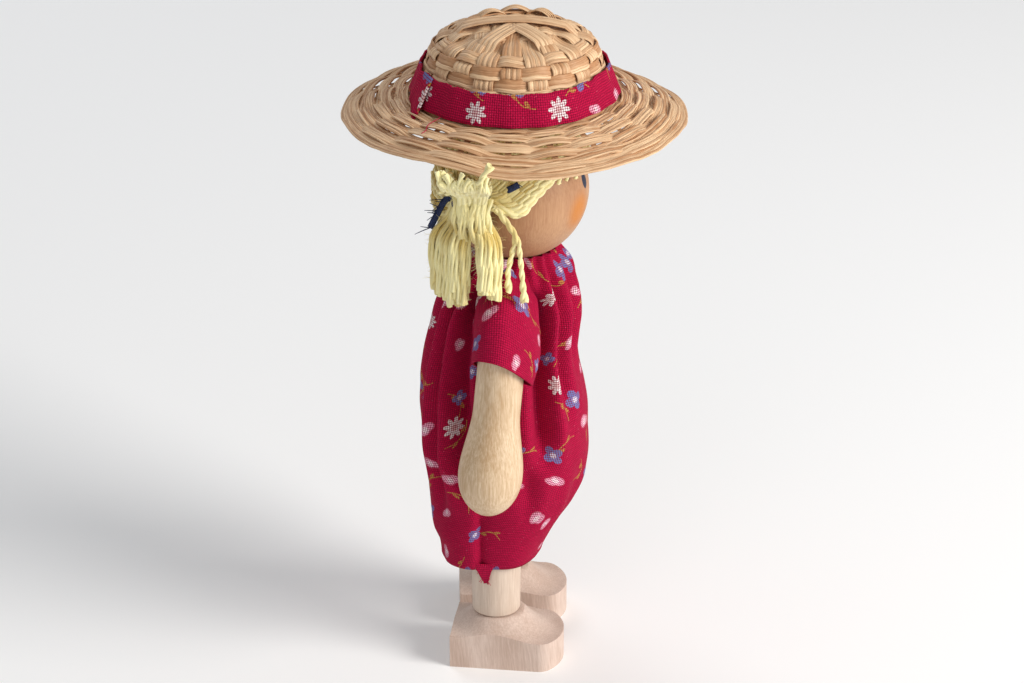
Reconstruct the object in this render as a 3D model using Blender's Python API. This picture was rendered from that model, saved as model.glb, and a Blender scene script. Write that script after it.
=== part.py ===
"""Miniature wooden doll in a gathered cotton dress and a woven straw hat.

Lengths are in metres, +Z is up and the soles stand on z = 0. The doll faces -Y,
so its right hand is on the -X side. The neck and the hat are centred on x = y = 0.
"""

import math

import bmesh
import bpy
from mathutils import Vector

MM = 0.001
SIDES = {"right": -1, "left": 1}

# Clearances between neighbouring pieces.
REST_GAP = 0.3 * MM
RUN_GAP = 0.35 * MM
HAND_GAP = 0.6 * MM
COLLAR_GAP = 0.8 * MM

# Shoes.
SHOE_LENGTH = 22.8 * MM
SHOE_WIDTH = 14.4 * MM
SHOE_HEEL_REACH = 8.9 * MM
SHOE_HEEL_HEIGHT = 7.0 * MM
SHOE_TOE_HEIGHT = 6.3 * MM
SHOE_INSTEP_HEIGHT = 10.6 * MM
SHOE_INSTEP_SLOPE = 4.4 * MM
SHOE_INSTEP_RUN = 0.6
SHOE_TOE_RADIUS = 9.6 * MM
SHOE_EDGE = 0.6 * MM
SHOE_SOCKET_DEPTH = 5.0 * MM
SHOE_TOE_OUT = math.radians(4.5)

# Legs. The setback is measured from the torso's axis.
LEG_SPACING = 18.6 * MM
LEG_SETBACK = 1.5 * MM
LEG_LENGTH = 24.8 * MM
LEG_TOP_DIAMETER = 10.4 * MM
LEG_ANKLE_DIAMETER = 9.8 * MM
LEG_TENON_DIAMETER = 6.0 * MM
LEG_TENON_LENGTH = 7.0 * MM

# Torso, an oval body that stands a little behind the neck.
BODY_SETBACK = 1.8 * MM
TORSO_HEIGHT = 46.5 * MM
TORSO_OVAL = 0.84
TORSO_HIP_LIP = 0.2 * MM
TORSO_CHEST_WIDTH = 22.0 * MM
TORSO_TOP_WIDTH = 16.5 * MM
TORSO_EDGE = 1.2 * MM
SHOULDER_BRIDGE = 1.65 * MM

# Neck and head.
NECK_PEG_DIAMETER = 6.0 * MM
NECK_LENGTH = 3.8 * MM
NECK_SOCKET_DEPTH = 4.4 * MM
HEAD_SOCKET_DEPTH = 8.0 * MM
HEAD_WIDTH = 29.2 * MM
HEAD_HEIGHT = 28.0 * MM
HEAD_FLAT_DIAMETER = 9.0 * MM

# Arms and the elastic cord they hang on.
SHOULDER_ADVANCE = 0.6 * MM
ARM_LENGTH = 36.1 * MM
ARM_DIAMETER = 9.2 * MM
ARM_SWELL_START = 14.0 * MM
HAND_DIAMETER = 12.7 * MM
HAND_TIP = 8.5 * MM
ARM_REST_TILT = math.radians(5.2)
CORD_DIAMETER = 1.2 * MM
KNOT_DIAMETER = 3.0 * MM
KNOT_LENGTH = 2.4 * MM

# Dress and sleeves.
CLOTH = 0.7 * MM
DRESS_EASE = 0.4 * MM
DRESS_FOLD = 1.4 * MM
DRESS_FOLDS = 10
DRESS_ROUNDNESS = 2.6
DRESS_RIDGE_ROUNDNESS = 2.4
DRESS_SLOPE_ROUNDNESS = 2.1
DRESS_HEM_DROP = 14.0 * MM
DRESS_SKIRT_RISE = 24.5 * MM
DRESS_SKIRT_FULLNESS = 3.1 * MM
DRESS_WAIST_DROP = 8.0 * MM
DRESS_WAIST_FULLNESS = 1.9 * MM
DRESS_CHEST_FULLNESS = 2.9 * MM
DRESS_SHOULDER_FULLNESS = 0.9 * MM
DRESS_HEM_FRONT = 8.4 * MM
DRESS_HEM_BACK = 14.0 * MM
DRESS_COLLAR_DIAMETER = 16.4 * MM
NECK_THREAD = 0.8 * MM
ARMPIT_DROP = 9.3 * MM
ARMPIT_ROUND = 0.5 * MM
SLEEVE_REACH = 14.0 * MM
SLEEVE_EASE = 0.7 * MM
SLEEVE_ANGLE = math.radians(60)

# Hair and ribbons.
HAIR_THICKNESS = 0.9 * MM
HAIR_DOME = 2.3
HAIRLINE_FRONT = 3.9 * MM
HAIRLINE_BACK = 8.1 * MM
PIGTAIL_ANGLE = math.radians(24)
PIGTAIL_TIE_RISE = 3.4 * MM
PIGTAIL_DROP = 18.2 * MM
PIGTAIL_WIDTH = 14.2 * MM
PIGTAIL_THICKNESS = 9.0 * MM
TUFT_WIDTH = 11.6 * MM
TUFT_THICKNESS = 8.4 * MM
TIE_WIDTH = 6.8 * MM
TIE_THICKNESS = 4.8 * MM
RIBBON_WIDTH = 1.6 * MM
RIBBON_THICKNESS = 0.6 * MM
RIBBON_TAIL_BACK = 6.2 * MM
RIBBON_TAIL_FRONT = 3.6 * MM

# Straw hat: stakes run out from the crown's centre, weavers go round them.
HAT_LIFT = 15.6 * MM
HAT_STAKES = 20
HAT_SHEET = 1.1 * MM
HAT_WAVE = 0.55 * MM
BRIM_DIAMETER = 67.0 * MM
BRIM_DROP = 3.6 * MM
BRIM_ROWS = 7
CROWN_BASE_DIAMETER = 38.4 * MM
CROWN_TOP_DIAMETER = 32.0 * MM
CROWN_HEIGHT = 13.8 * MM
CROWN_DOME = 5.4 * MM
CROWN_WALL_ROWS = 4
CROWN_DOME_ROWS = 3
CROWN_GAP = 0.45
BAND_WIDTH = 6.2 * MM
BAND_CLOTH = 0.5 * MM

# Facets round each turned piece.
FINE = 32
MEDIUM = 24
SMALL = 16

# Places that follow from the sizes above.
LEG_Y = BODY_SETBACK + LEG_SETBACK
LEG_BASE = SHOE_INSTEP_HEIGHT + REST_GAP
TORSO_BASE = LEG_BASE + LEG_LENGTH + REST_GAP
TORSO_TOP = TORSO_BASE + TORSO_HEIGHT
TORSO_HIP = LEG_SPACING / 2 + LEG_TOP_DIAMETER / 2 + TORSO_HIP_LIP
CORD_BORE = CORD_DIAMETER + 2 * RUN_GAP
SHOULDER_Y = BODY_SETBACK - SHOULDER_ADVANCE
SHOULDER_Z = TORSO_TOP - NECK_SOCKET_DEPTH - SHOULDER_BRIDGE - CORD_BORE / 2
HEAD_BASE = TORSO_TOP + NECK_LENGTH
HEAD_CUT = math.sqrt(1 - (HEAD_FLAT_DIAMETER / HEAD_WIDTH) ** 2)
HEAD_Z = HEAD_BASE + HEAD_HEIGHT / 2 * HEAD_CUT
DRESS_SIDE = TORSO_HIP + DRESS_EASE + CLOTH
ARMPIT_Z = SHOULDER_Z - ARMPIT_DROP
HAIR_RADIUS = HEAD_WIDTH / 2 + REST_GAP + HAIR_THICKNESS
BRIM_EDGE_Z = HEAD_Z + HAT_LIFT
CROWN_BASE_Z = BRIM_EDGE_Z + BRIM_DROP
CROWN_TOP_Z = CROWN_BASE_Z + CROWN_HEIGHT
HAT_SKIN = HAT_SHEET / 2 + HAT_WAVE
TIE_Z = HEAD_Z + PIGTAIL_TIE_RISE


def clear_scene():
    for piece in list(bpy.data.objects):
        bpy.data.objects.remove(piece)


def finish(name, colour, roughness):
    """Principled material for one piece."""
    look = bpy.data.materials.new(name)
    look.use_nodes = True
    shader = look.node_tree.nodes["Principled BSDF"]
    shader.inputs["Base Color"].default_value = (*colour, 1)
    shader.inputs["Roughness"].default_value = roughness
    shader.inputs["Metallic"].default_value = 0
    return look


FINISHES = {
    "shoe": ((0.64, 0.46, 0.36), 0.55),
    "leg": ((0.70, 0.56, 0.43), 0.6),
    "torso": ((0.66, 0.50, 0.33), 0.65),
    "neck": ((0.68, 0.53, 0.36), 0.6),
    "head": ((0.62, 0.36, 0.20), 0.5),
    "arm": ((0.68, 0.50, 0.28), 0.55),
    "cord": ((0.75, 0.73, 0.68), 0.8),
    "dress": ((0.42, 0.02, 0.06), 0.9),
    "sleeve": ((0.42, 0.02, 0.06), 0.9),
    "hair": ((0.78, 0.68, 0.30), 0.9),
    "pigtail": ((0.78, 0.68, 0.30), 0.9),
    "ribbon": ((0.01, 0.02, 0.10), 0.7),
    "thread": ((0.40, 0.03, 0.06), 0.85),
    "hat": ((0.68, 0.42, 0.18), 0.7),
    "band": ((0.42, 0.02, 0.06), 0.9),
}


def add(name, shape, kind, place=(0, 0, 0)):
    """Object at place from a mesh built round that place."""
    mesh = bpy.data.meshes.new(name)
    shape.to_mesh(mesh)
    shape.free()
    mesh.polygons.foreach_set("use_smooth", [True] * len(mesh.polygons))
    mesh.set_sharp_from_angle(angle=math.radians(38))
    mesh.materials.append(finish(name, *FINISHES[kind]))
    piece = bpy.data.objects.new(name, mesh)
    piece.location = place
    bpy.context.scene.collection.objects.link(piece)
    return piece


def add_cutter(name, shape, place=(0, 0, 0)):
    """Hidden solid that a Boolean takes away."""
    mesh = bpy.data.meshes.new(name)
    shape.to_mesh(mesh)
    shape.free()
    cutter = bpy.data.objects.new(name, mesh)
    cutter.location = place
    cutter.hide_render = True
    cutter.display_type = "WIRE"
    bpy.context.scene.collection.objects.link(cutter)
    return cutter


def cut(piece, cutter):
    modifier = piece.modifiers.new(cutter.name, "BOOLEAN")
    modifier.operation = "DIFFERENCE"
    modifier.solver = "EXACT"
    modifier.object = cutter


def skin(rings, loop=False, woven=False, gaps=()):
    """Closed mesh over rings of points. One point is a pole, and a loop joins the last ring to the first.

    Woven splits each four-sided face between its two corners of even row plus step,
    so that bumps stay round. Each gap names a point on the outer face and the point
    behind it, as (ring, step), and becomes a hole through the sheet.
    """
    shape = bmesh.new()
    made = [[shape.verts.new(point) for point in ring] for ring in rings]
    rims = {made[ring][step]: {} for gap in gaps for ring, step in gap}

    def rim_point(corner, other):
        if other not in rims[corner]:
            rims[corner][other] = shape.verts.new(corner.co.lerp(other.co, CROWN_GAP))
        return rims[corner][other]

    def add_face(corners):
        outline = []
        for index, corner in enumerate(corners):
            if corner in rims:
                outline.append(rim_point(corner, corners[index - 1]))
                outline.append(rim_point(corner, corners[(index + 1) % len(corners)]))
            else:
                outline.append(corner)
        shape.faces.new(outline)

    pairs = list(zip(made, made[1:]))
    if loop:
        pairs.append((made[-1], made[0]))
    for row, (lower, upper) in enumerate(pairs):
        for step in range(max(len(lower), len(upper))):
            corners = []
            for ring, index in ((lower, step), (lower, step + 1), (upper, step + 1), (upper, step)):
                corner = ring[index % len(ring)]
                if corner not in corners:
                    corners.append(corner)
            if woven and len(corners) == 4:
                first = (row + step) % 2
                corners = corners[first:] + corners[:first]
                add_face(corners[:3])
                corners = corners[2:] + corners[:1]
            add_face(corners)
    for (ring, step), (ring_behind, step_behind) in gaps:
        front = neighbours(made, ring, step, -1)
        behind = neighbours(made, ring_behind, step_behind, 1)
        outer = [rim_point(made[ring][step], other) for other in front]
        inner = [rim_point(made[ring_behind][step_behind], other) for other in behind]
        for side in range(4):
            shape.faces.new((outer[side - 1], outer[side], inner[side], inner[side - 1]))
    for corner in rims:
        shape.verts.remove(corner)
    if not loop:
        for ring in (made[0], made[-1]):
            if len(ring) > 1:
                shape.faces.new(ring)
    bmesh.ops.recalc_face_normals(shape, faces=shape.faces)
    return shape


def neighbours(made, ring, step, way):
    """The four points round a point of a ring, in turn, starting a ring on or back."""
    count = len(made[ring])
    return (
        made[ring + way][step],
        made[ring][(step + 1) % count],
        made[ring - way][step],
        made[ring][step - 1],
    )


def turned(profile, facets, oval=1.0, along_x=False):
    """Solid turned about Z, or about X, from (radius, height) points. Oval presses it in Y."""
    rings = []
    for radius, height in profile:
        ring = []
        for step in range(facets if radius > 0 else 1):
            angle = 2 * math.pi * step / facets
            across = radius * math.cos(angle)
            deep = radius * math.sin(angle) * oval
            ring.append((height, across, deep) if along_x else (across, deep, height))
        rings.append(ring)
    return skin(rings)


def rod(radius, low, high, facets, along_x=False):
    return turned([(radius, low), (radius, high)], facets, along_x=along_x)


def smooth(value):
    """Eases from 0 to 1 as value goes from 0 to 1."""
    value = min(max(value, 0), 1)
    return value * value * (3 - 2 * value)


def mix(first, last, share):
    return first + (last - first) * share


def head_radius(height, grown=0.0):
    """Radius of the head, grown by a skin, at a height above the floor."""
    share = (height - HEAD_Z) / (HEAD_HEIGHT / 2 + grown)
    return (HEAD_WIDTH / 2 + grown) * math.sqrt(max(0, 1 - share * share))


def head_underside(radius):
    share = radius / (HEAD_WIDTH / 2)
    return HEAD_Z - HEAD_HEIGHT / 2 * math.sqrt(max(0, 1 - share * share))


def torso_half_width(height):
    """Half width of the torso between the hips and the chest."""
    share = (height - TORSO_BASE) / (SHOULDER_Z - TORSO_BASE)
    return mix(TORSO_HIP, TORSO_CHEST_WIDTH / 2, smooth(share))


# The arms hang a little outwards, so that the hands clear the skirt's sides.
DRESS_SHOULDER = torso_half_width(ARMPIT_Z) + DRESS_EASE + CLOTH + DRESS_SHOULDER_FULLNESS
ARMPIT_X = DRESS_SHOULDER + REST_GAP
ARM_X = ARMPIT_X + ARMPIT_ROUND + CLOTH + REST_GAP + ARM_DIAMETER / 2
HAND_X = max(DRESS_SIDE + HAND_GAP + HAND_DIAMETER / 2, ARM_X)
ARM_SPREAD = math.asin((HAND_X - ARM_X) / (ARM_LENGTH - HAND_TIP))


def shoe_top(across, along):
    """Height of a shoe's upper at a place measured from the leg's axis."""
    heel_share = (SHOE_HEEL_REACH - along) / SHOE_LENGTH
    plain = mix(SHOE_HEEL_HEIGHT, SHOE_TOE_HEIGHT, heel_share)
    # The upper falls more slowly towards the toe than towards the heel.
    run = along * SHOE_INSTEP_RUN if along < 0 else along
    away = math.hypot(across, run) - LEG_ANKLE_DIAMETER / 2
    return mix(SHOE_INSTEP_HEIGHT, plain, smooth(away / SHOE_INSTEP_SLOPE))


def make_shoe(word, side):
    columns = 8
    rows = 14
    shape = bmesh.new()
    top = []
    for row in range(rows + 1):
        line = []
        for column in range(columns + 1):
            across = mix(-SHOE_WIDTH / 2, SHOE_WIDTH / 2, column / columns)
            sag = SHOE_TOE_RADIUS - math.sqrt(SHOE_TOE_RADIUS**2 - across**2)
            toe = SHOE_HEEL_REACH - SHOE_LENGTH + sag
            along = mix(SHOE_HEEL_REACH, toe, row / rows)
            line.append(shape.verts.new((across, along, shoe_top(across, along))))
        top.append(line)
    for upper, lower in zip(top, top[1:]):
        for column in range(columns):
            shape.faces.new((upper[column], upper[column + 1], lower[column + 1], lower[column]))
    rim = top[0] + [line[-1] for line in top[1:-1]] + top[-1][::-1] + [line[0] for line in top[-2:0:-1]]
    sole = [shape.verts.new((corner.co.x, corner.co.y, 0)) for corner in rim]
    for step, corner in enumerate(rim):
        after = (step + 1) % len(rim)
        shape.faces.new((corner, rim[after], sole[after], sole[step]))
    shape.faces.new(sole)
    bmesh.ops.recalc_face_normals(shape, faces=shape.faces)
    place = (side * LEG_SPACING / 2, LEG_Y, 0)
    shoe = add("shoe_" + word, shape, "shoe", place)
    shoe.rotation_euler.z = side * SHOE_TOE_OUT
    edge = shoe.modifiers.new("worn_edges", "BEVEL")
    edge.width = SHOE_EDGE
    edge.segments = 2
    edge.limit_method = "ANGLE"
    edge.angle_limit = math.radians(40)
    bore = rod(LEG_TENON_DIAMETER / 2 + REST_GAP, LEG_BASE - SHOE_SOCKET_DEPTH, LEG_BASE + 2 * MM, SMALL)
    cut(shoe, add_cutter("ankle_socket_" + word, bore, place))


def make_leg(word, side):
    tenon = LEG_TENON_DIAMETER / 2
    top = LEG_BASE + LEG_LENGTH
    chamfer = 0.3 * MM
    profile = [
        (tenon - chamfer, LEG_BASE - SHOE_SOCKET_DEPTH + REST_GAP),
        (tenon, LEG_BASE - SHOE_SOCKET_DEPTH + REST_GAP + chamfer),
        (tenon, LEG_BASE),
        (LEG_ANKLE_DIAMETER / 2 - chamfer, LEG_BASE),
        (LEG_ANKLE_DIAMETER / 2, LEG_BASE + chamfer),
        (LEG_TOP_DIAMETER / 2, top - chamfer),
        (LEG_TOP_DIAMETER / 2 - chamfer, top),
        (tenon, top),
        (tenon, top + LEG_TENON_LENGTH - chamfer),
        (tenon - chamfer, top + LEG_TENON_LENGTH),
    ]
    add("leg_" + word, turned(profile, MEDIUM), "leg", (side * LEG_SPACING / 2, LEG_Y, 0))


def make_torso():
    profile = [
        (TORSO_HIP - TORSO_EDGE, TORSO_BASE),
        (TORSO_HIP - TORSO_EDGE * 0.3, TORSO_BASE + TORSO_EDGE * 0.3),
    ]
    for step in range(7):
        height = mix(TORSO_BASE + TORSO_EDGE, SHOULDER_Z, step / 6)
        profile.append((torso_half_width(height), height))
    for step in range(1, 5):
        angle = math.pi / 2 * step / 4
        radius = mix(TORSO_TOP_WIDTH / 2, TORSO_CHEST_WIDTH / 2, math.cos(angle))
        profile.append((radius, mix(SHOULDER_Z, TORSO_TOP, math.sin(angle))))
    torso = add("torso", turned(profile, FINE, TORSO_OVAL), "torso", (0, BODY_SETBACK, 0))
    for word, side in SIDES.items():
        top = TORSO_BASE + LEG_TENON_LENGTH + REST_GAP
        bore = rod(LEG_TENON_DIAMETER / 2 + REST_GAP, TORSO_BASE - 2 * MM, top, MEDIUM)
        cut(torso, add_cutter("hip_socket_" + word, bore, (side * LEG_SPACING / 2, LEG_Y, 0)))
    neck = rod(NECK_PEG_DIAMETER / 2 + RUN_GAP, TORSO_TOP - NECK_SOCKET_DEPTH, TORSO_TOP + 2 * MM, MEDIUM)
    cut(torso, add_cutter("neck_socket", neck))
    bore = rod(CORD_BORE / 2, -TORSO_HIP, TORSO_HIP, SMALL, along_x=True)
    cut(torso, add_cutter("cord_bore", bore, (0, SHOULDER_Y, SHOULDER_Z)))


def make_neck_and_head():
    radius = NECK_PEG_DIAMETER / 2
    low = TORSO_TOP - NECK_SOCKET_DEPTH + REST_GAP
    high = HEAD_BASE + HEAD_SOCKET_DEPTH - REST_GAP
    chamfer = 0.4 * MM
    profile = [
        (radius - chamfer, low),
        (radius, low + chamfer),
        (radius, high - chamfer),
        (radius - chamfer, high),
    ]
    add("neck_peg", turned(profile, MEDIUM), "neck")
    profile = []
    rows = 15
    start = -math.asin(HEAD_CUT)
    for step in range(rows):
        angle = mix(start, math.pi / 2, step / rows)
        profile.append((HEAD_WIDTH / 2 * math.cos(angle), HEAD_Z + HEAD_HEIGHT / 2 * math.sin(angle)))
    profile.append((0, HEAD_Z + HEAD_HEIGHT / 2))
    head = add("head", turned(profile, FINE), "head")
    bore = rod(radius + REST_GAP, HEAD_BASE - 2 * MM, HEAD_BASE + HEAD_SOCKET_DEPTH, MEDIUM)
    cut(head, add_cutter("head_socket", bore))


def arm_radius(down):
    """Radius of an arm at a distance below the shoulder."""
    swell_end = ARM_LENGTH - HAND_TIP
    share = (down - ARM_SWELL_START) / (swell_end - ARM_SWELL_START)
    return mix(ARM_DIAMETER / 2, HAND_DIAMETER / 2, smooth(share))


def make_arm(word, side):
    profile = [(0, -ARM_LENGTH)]
    for step in range(1, 7):
        angle = math.pi / 2 * step / 6
        radius = HAND_DIAMETER / 2 * math.sin(angle)
        profile.append((radius, HAND_TIP - ARM_LENGTH - HAND_TIP * math.cos(angle)))
    for step in range(1, 9):
        down = mix(ARM_LENGTH - HAND_TIP, 0, step / 8)
        profile.append((arm_radius(down), -down))
    for step in range(1, 5):
        angle = math.pi / 2 * step / 5
        profile.append((ARM_DIAMETER / 2 * math.cos(angle), ARM_DIAMETER / 2 * math.sin(angle)))
    profile.append((0, ARM_DIAMETER / 2))
    place = (side * ARM_X, SHOULDER_Y, SHOULDER_Z)
    arm = add("arm_" + word, turned(profile, MEDIUM), "arm", place)
    arm.rotation_mode = "YXZ"
    arm.rotation_euler = (ARM_REST_TILT, -side * ARM_SPREAD, 0)
    floor = ARM_DIAMETER / 2 - KNOT_LENGTH
    reach = ARM_DIAMETER
    bore = [(CORD_BORE / 2, -side * reach), (CORD_BORE / 2, side * floor)]
    knot = KNOT_DIAMETER / 2 + RUN_GAP
    bore += [(knot, side * floor), (knot, side * reach)]
    cut(arm, add_cutter("cord_hole_" + word, turned(bore, SMALL, along_x=True), place))


def make_arm_cord():
    """Cord through the torso with a knot seated in each arm's counterbore."""
    inner = ARM_X + ARM_DIAMETER / 2 - KNOT_LENGTH + RUN_GAP
    outer = inner + KNOT_LENGTH
    knot = KNOT_DIAMETER / 2
    chamfer = 0.5 * MM
    half = [
        (CORD_DIAMETER / 2, inner),
        (knot - chamfer, inner),
        (knot, inner + chamfer),
        (knot, outer - chamfer),
        (knot - chamfer, outer),
    ]
    profile = [(radius, -reach) for radius, reach in reversed(half)] + half
    shape = turned(profile, SMALL, along_x=True)
    add("arm_cord", shape, "cord", (0, SHOULDER_Y, SHOULDER_Z))


def power(value, exponent):
    return math.copysign(abs(value) ** exponent, value)


def dress_ring(height, half_width, front, back, fold, roundness, centre=BODY_SETBACK):
    """Level ring of the dress. Folds fade at the sides, where the arms hang."""
    ring = []
    count = DRESS_FOLDS * 4
    for step in range(count):
        angle = 2 * math.pi * step / count
        across = half_width * power(math.cos(angle), 2 / roundness)
        deep = (back if math.sin(angle) > 0 else front) * power(math.sin(angle), 2 / roundness)
        reach = math.hypot(across, deep)
        wave = fold * math.cos(DRESS_FOLDS * angle) * math.sin(angle) ** 2
        ring.append((across * (1 + wave / reach), centre + deep * (1 + wave / reach), height))
    return ring


def cloth_reach(height, fullness):
    """Front or back reach that clears the torso at a height."""
    return torso_half_width(height) * TORSO_OVAL + REST_GAP + CLOTH + DRESS_FOLD + fullness


def dress_stations():
    """Height, half width, front, back and fold depth of the dress, from the hem to the shoulder."""
    hem = TORSO_BASE - DRESS_HEM_DROP
    skirt = hem + DRESS_SKIRT_RISE
    waist = SHOULDER_Z - DRESS_WAIST_DROP
    low = mix(hem, skirt, 0.5)
    full = cloth_reach(skirt, DRESS_SKIRT_FULLNESS)
    pinch = cloth_reach(waist, DRESS_WAIST_FULLNESS)
    chest = cloth_reach(SHOULDER_Z, DRESS_CHEST_FULLNESS)
    side = DRESS_SIDE
    return [
        (hem, side - CLOTH / 2, DRESS_HEM_FRONT, DRESS_HEM_BACK, DRESS_FOLD * 0.4),
        (
            mix(hem, skirt, 0.2),
            side,
            mix(DRESS_HEM_FRONT, full, 0.32),
            mix(DRESS_HEM_BACK, full, 0.5),
            DRESS_FOLD * 0.7,
        ),
        (low, side, mix(DRESS_HEM_FRONT, full, 0.78), mix(DRESS_HEM_BACK, full, 0.85), DRESS_FOLD),
        (skirt, side, full, full, DRESS_FOLD),
        (
            mix(skirt, waist, 0.5),
            mix(side, DRESS_SHOULDER, 0.4),
            mix(full, pinch, 0.45),
            mix(full, pinch, 0.15),
            DRESS_FOLD,
        ),
        (waist, DRESS_SHOULDER, pinch, mix(full, pinch, 0.7), DRESS_FOLD),
        (SHOULDER_Z, DRESS_SHOULDER, chest, chest, DRESS_FOLD * 0.8),
    ]


def make_dress():
    """Shell from the hem up over the shoulders to a gathered collar, and back down inside."""
    collar = DRESS_COLLAR_DIAMETER / 2
    collar_z = head_underside(collar) - COLLAR_GAP
    ceiling = TORSO_TOP + REST_GAP
    hole = NECK_PEG_DIAMETER / 2 + REST_GAP
    stations = dress_stations()
    chest = stations[-1][2]
    outer = [dress_ring(*station, DRESS_ROUNDNESS) for station in stations]
    inner = []
    for height, half_width, front, back, fold in stations:
        reaches = (half_width - CLOTH, front - CLOTH, back - CLOTH)
        inner.append(dress_ring(height, *reaches, fold, DRESS_ROUNDNESS))
    ridge = mix(SHOULDER_Z, collar_z, 0.45)
    reach = mix(chest, collar, 0.22)
    wide = DRESS_SHOULDER - CLOTH / 2
    outer.append(dress_ring(ridge, wide, reach, reach, DRESS_FOLD * 0.7, DRESS_RIDGE_ROUNDNESS))
    slope = mix(SHOULDER_Z, collar_z, 0.78)
    centre = BODY_SETBACK / 2
    reach = mix(chest, collar, 0.6)
    wide = mix(DRESS_SHOULDER, collar, 0.4)
    outer.append(dress_ring(slope, wide, reach, reach, DRESS_FOLD * 0.6, DRESS_SLOPE_ROUNDNESS, centre))
    outer.append(dress_ring(collar_z, collar, collar, collar, DRESS_FOLD * 0.4, 2, 0))
    lip = mix(collar, hole, 0.35)
    outer.append(dress_ring(mix(ceiling, collar_z, 0.55), lip, lip, lip, 0, 2, 0))
    outer.append(dress_ring(ceiling + CLOTH, hole, hole, hole, 0, 2, 0))
    under = dress_ring(ceiling, hole, hole, hole, 0, 2, 0)
    wide = mix(DRESS_SHOULDER, collar, 0.5) - CLOTH
    roof = dress_ring(ceiling, wide, wide, wide, 0, DRESS_SLOPE_ROUNDNESS, centre)
    rings = outer + [under, roof] + inner[::-1]
    dress = add("dress_body", skin(rings, loop=True), "dress")
    armhole = rod(CORD_BORE / 2 + RUN_GAP, -2 * DRESS_SIDE, 2 * DRESS_SIDE, SMALL, along_x=True)
    cut(dress, add_cutter("armholes", armhole, (0, SHOULDER_Y, SHOULDER_Z)))
    middle = mix(lip, hole, 0.5)
    level = ceiling + CLOTH + mix(0, mix(ceiling, collar_z, 0.55) - ceiling - CLOTH, 0.5)
    thread = []
    for step in range(6):
        angle = 2 * math.pi * step / 6
        ring = []
        radius = middle + NECK_THREAD / 2 * math.cos(angle)
        height = level + REST_GAP + NECK_THREAD * 0.7 + NECK_THREAD / 2 * math.sin(angle)
        for turn in range(MEDIUM):
            sweep = 2 * math.pi * turn / MEDIUM
            ring.append((radius * math.cos(sweep), radius * math.sin(sweep), height))
        thread.append(ring)
    add("neck_thread", skin(thread, loop=True), "thread")


def sleeve_reach(angle):
    """How far a sleeve ring stands from the armpit, clear of the arm's top and the knot."""
    out = ARM_X - ARMPIT_X
    up = SHOULDER_Z - ARMPIT_Z
    clear = ARM_DIAMETER / 2 + RUN_GAP + SLEEVE_EASE
    toward = out * math.sin(angle) + up * math.cos(angle)
    miss = out * math.cos(angle) - up * math.sin(angle)
    needed = SLEEVE_REACH
    if abs(miss) < clear:
        needed = max(needed, toward + math.sqrt(clear**2 - miss**2))
    if angle > 0:
        needed = max(needed, min(toward + clear, (out + clear) / math.sin(angle)))
    return needed + CLOTH


def make_sleeve(word, side):
    """Short puffed sleeve whose rings fan out from the armpit over the arm's top."""
    rows = 6
    half_depth = ARM_DIAMETER / 2 + ARMPIT_DROP * math.sin(ARM_REST_TILT) + REST_GAP + CLOTH
    place = Vector((side * ARM_X, SHOULDER_Y, SHOULDER_Z))
    layers = []
    for skin_in in (0, CLOTH):
        layer = []
        for row in range(rows + 1):
            angle = mix(0, SLEEVE_ANGLE, row / rows)
            near = ARMPIT_ROUND + skin_in
            far = sleeve_reach(angle) - skin_in
            ring = []
            for step in range(MEDIUM):
                turn = 2 * math.pi * step / MEDIUM
                away = mix(near, far, 0.5 + 0.5 * math.cos(turn))
                deep = (half_depth - skin_in) * math.sin(turn)
                point = Vector((
                    side * (ARMPIT_X + away * math.sin(angle)),
                    SHOULDER_Y + deep,
                    ARMPIT_Z + away * math.cos(angle),
                ))
                ring.append(point - place)
            layer.append(ring)
        layers.append(layer)
    rings = layers[0] + layers[1][::-1]
    add("sleeve_" + word, skin(rings, loop=True), "sleeve", place)


def crown_line(share):
    """Middle line of the crown from its base (0) to the top centre (1) as radius and height."""
    base = CROWN_BASE_DIAMETER / 2
    top = CROWN_TOP_DIAMETER / 2
    wall_rows = CROWN_WALL_ROWS / (CROWN_WALL_ROWS + CROWN_DOME_ROWS)
    if share < wall_rows:
        part = share / wall_rows
        return mix(base, top, part), mix(CROWN_BASE_Z, CROWN_TOP_Z - CROWN_DOME, part)
    angle = math.pi / 2 * (share - wall_rows) / (1 - wall_rows)
    return top * math.cos(angle), CROWN_TOP_Z - CROWN_DOME + CROWN_DOME * math.sin(angle)


def brim_line(share):
    """Middle line of the brim from its edge (0) to the crown (1)."""
    radius = mix(BRIM_DIAMETER / 2, CROWN_BASE_DIAMETER / 2, share)
    return radius, mix(BRIM_EDGE_Z, CROWN_BASE_Z, math.sin(math.pi / 2 * share))


def hat_line():
    """Middle line of the whole hat, two points to a weaver, from the brim's edge to the top."""
    line = [brim_line(step / (2 * BRIM_ROWS)) for step in range(2 * BRIM_ROWS)]
    steps = 2 * (CROWN_WALL_ROWS + CROWN_DOME_ROWS)
    return line + [crown_line(step / steps) for step in range(steps + 1)]


def weave(row, step):
    """Lift of the straw: weavers cross stakes at even steps, over and under by turns.

    Between two weavers and two stakes lies a groove, and over the dome a gap.
    """
    on_weaver = row % 2 == 1
    on_stake = step % 2 == 0
    if not on_weaver:
        return 0 if on_stake else -0.9
    if not on_stake:
        return 0.15
    return 1 if (row // 2 + step // 2) % 2 == 0 else -0.7


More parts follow.
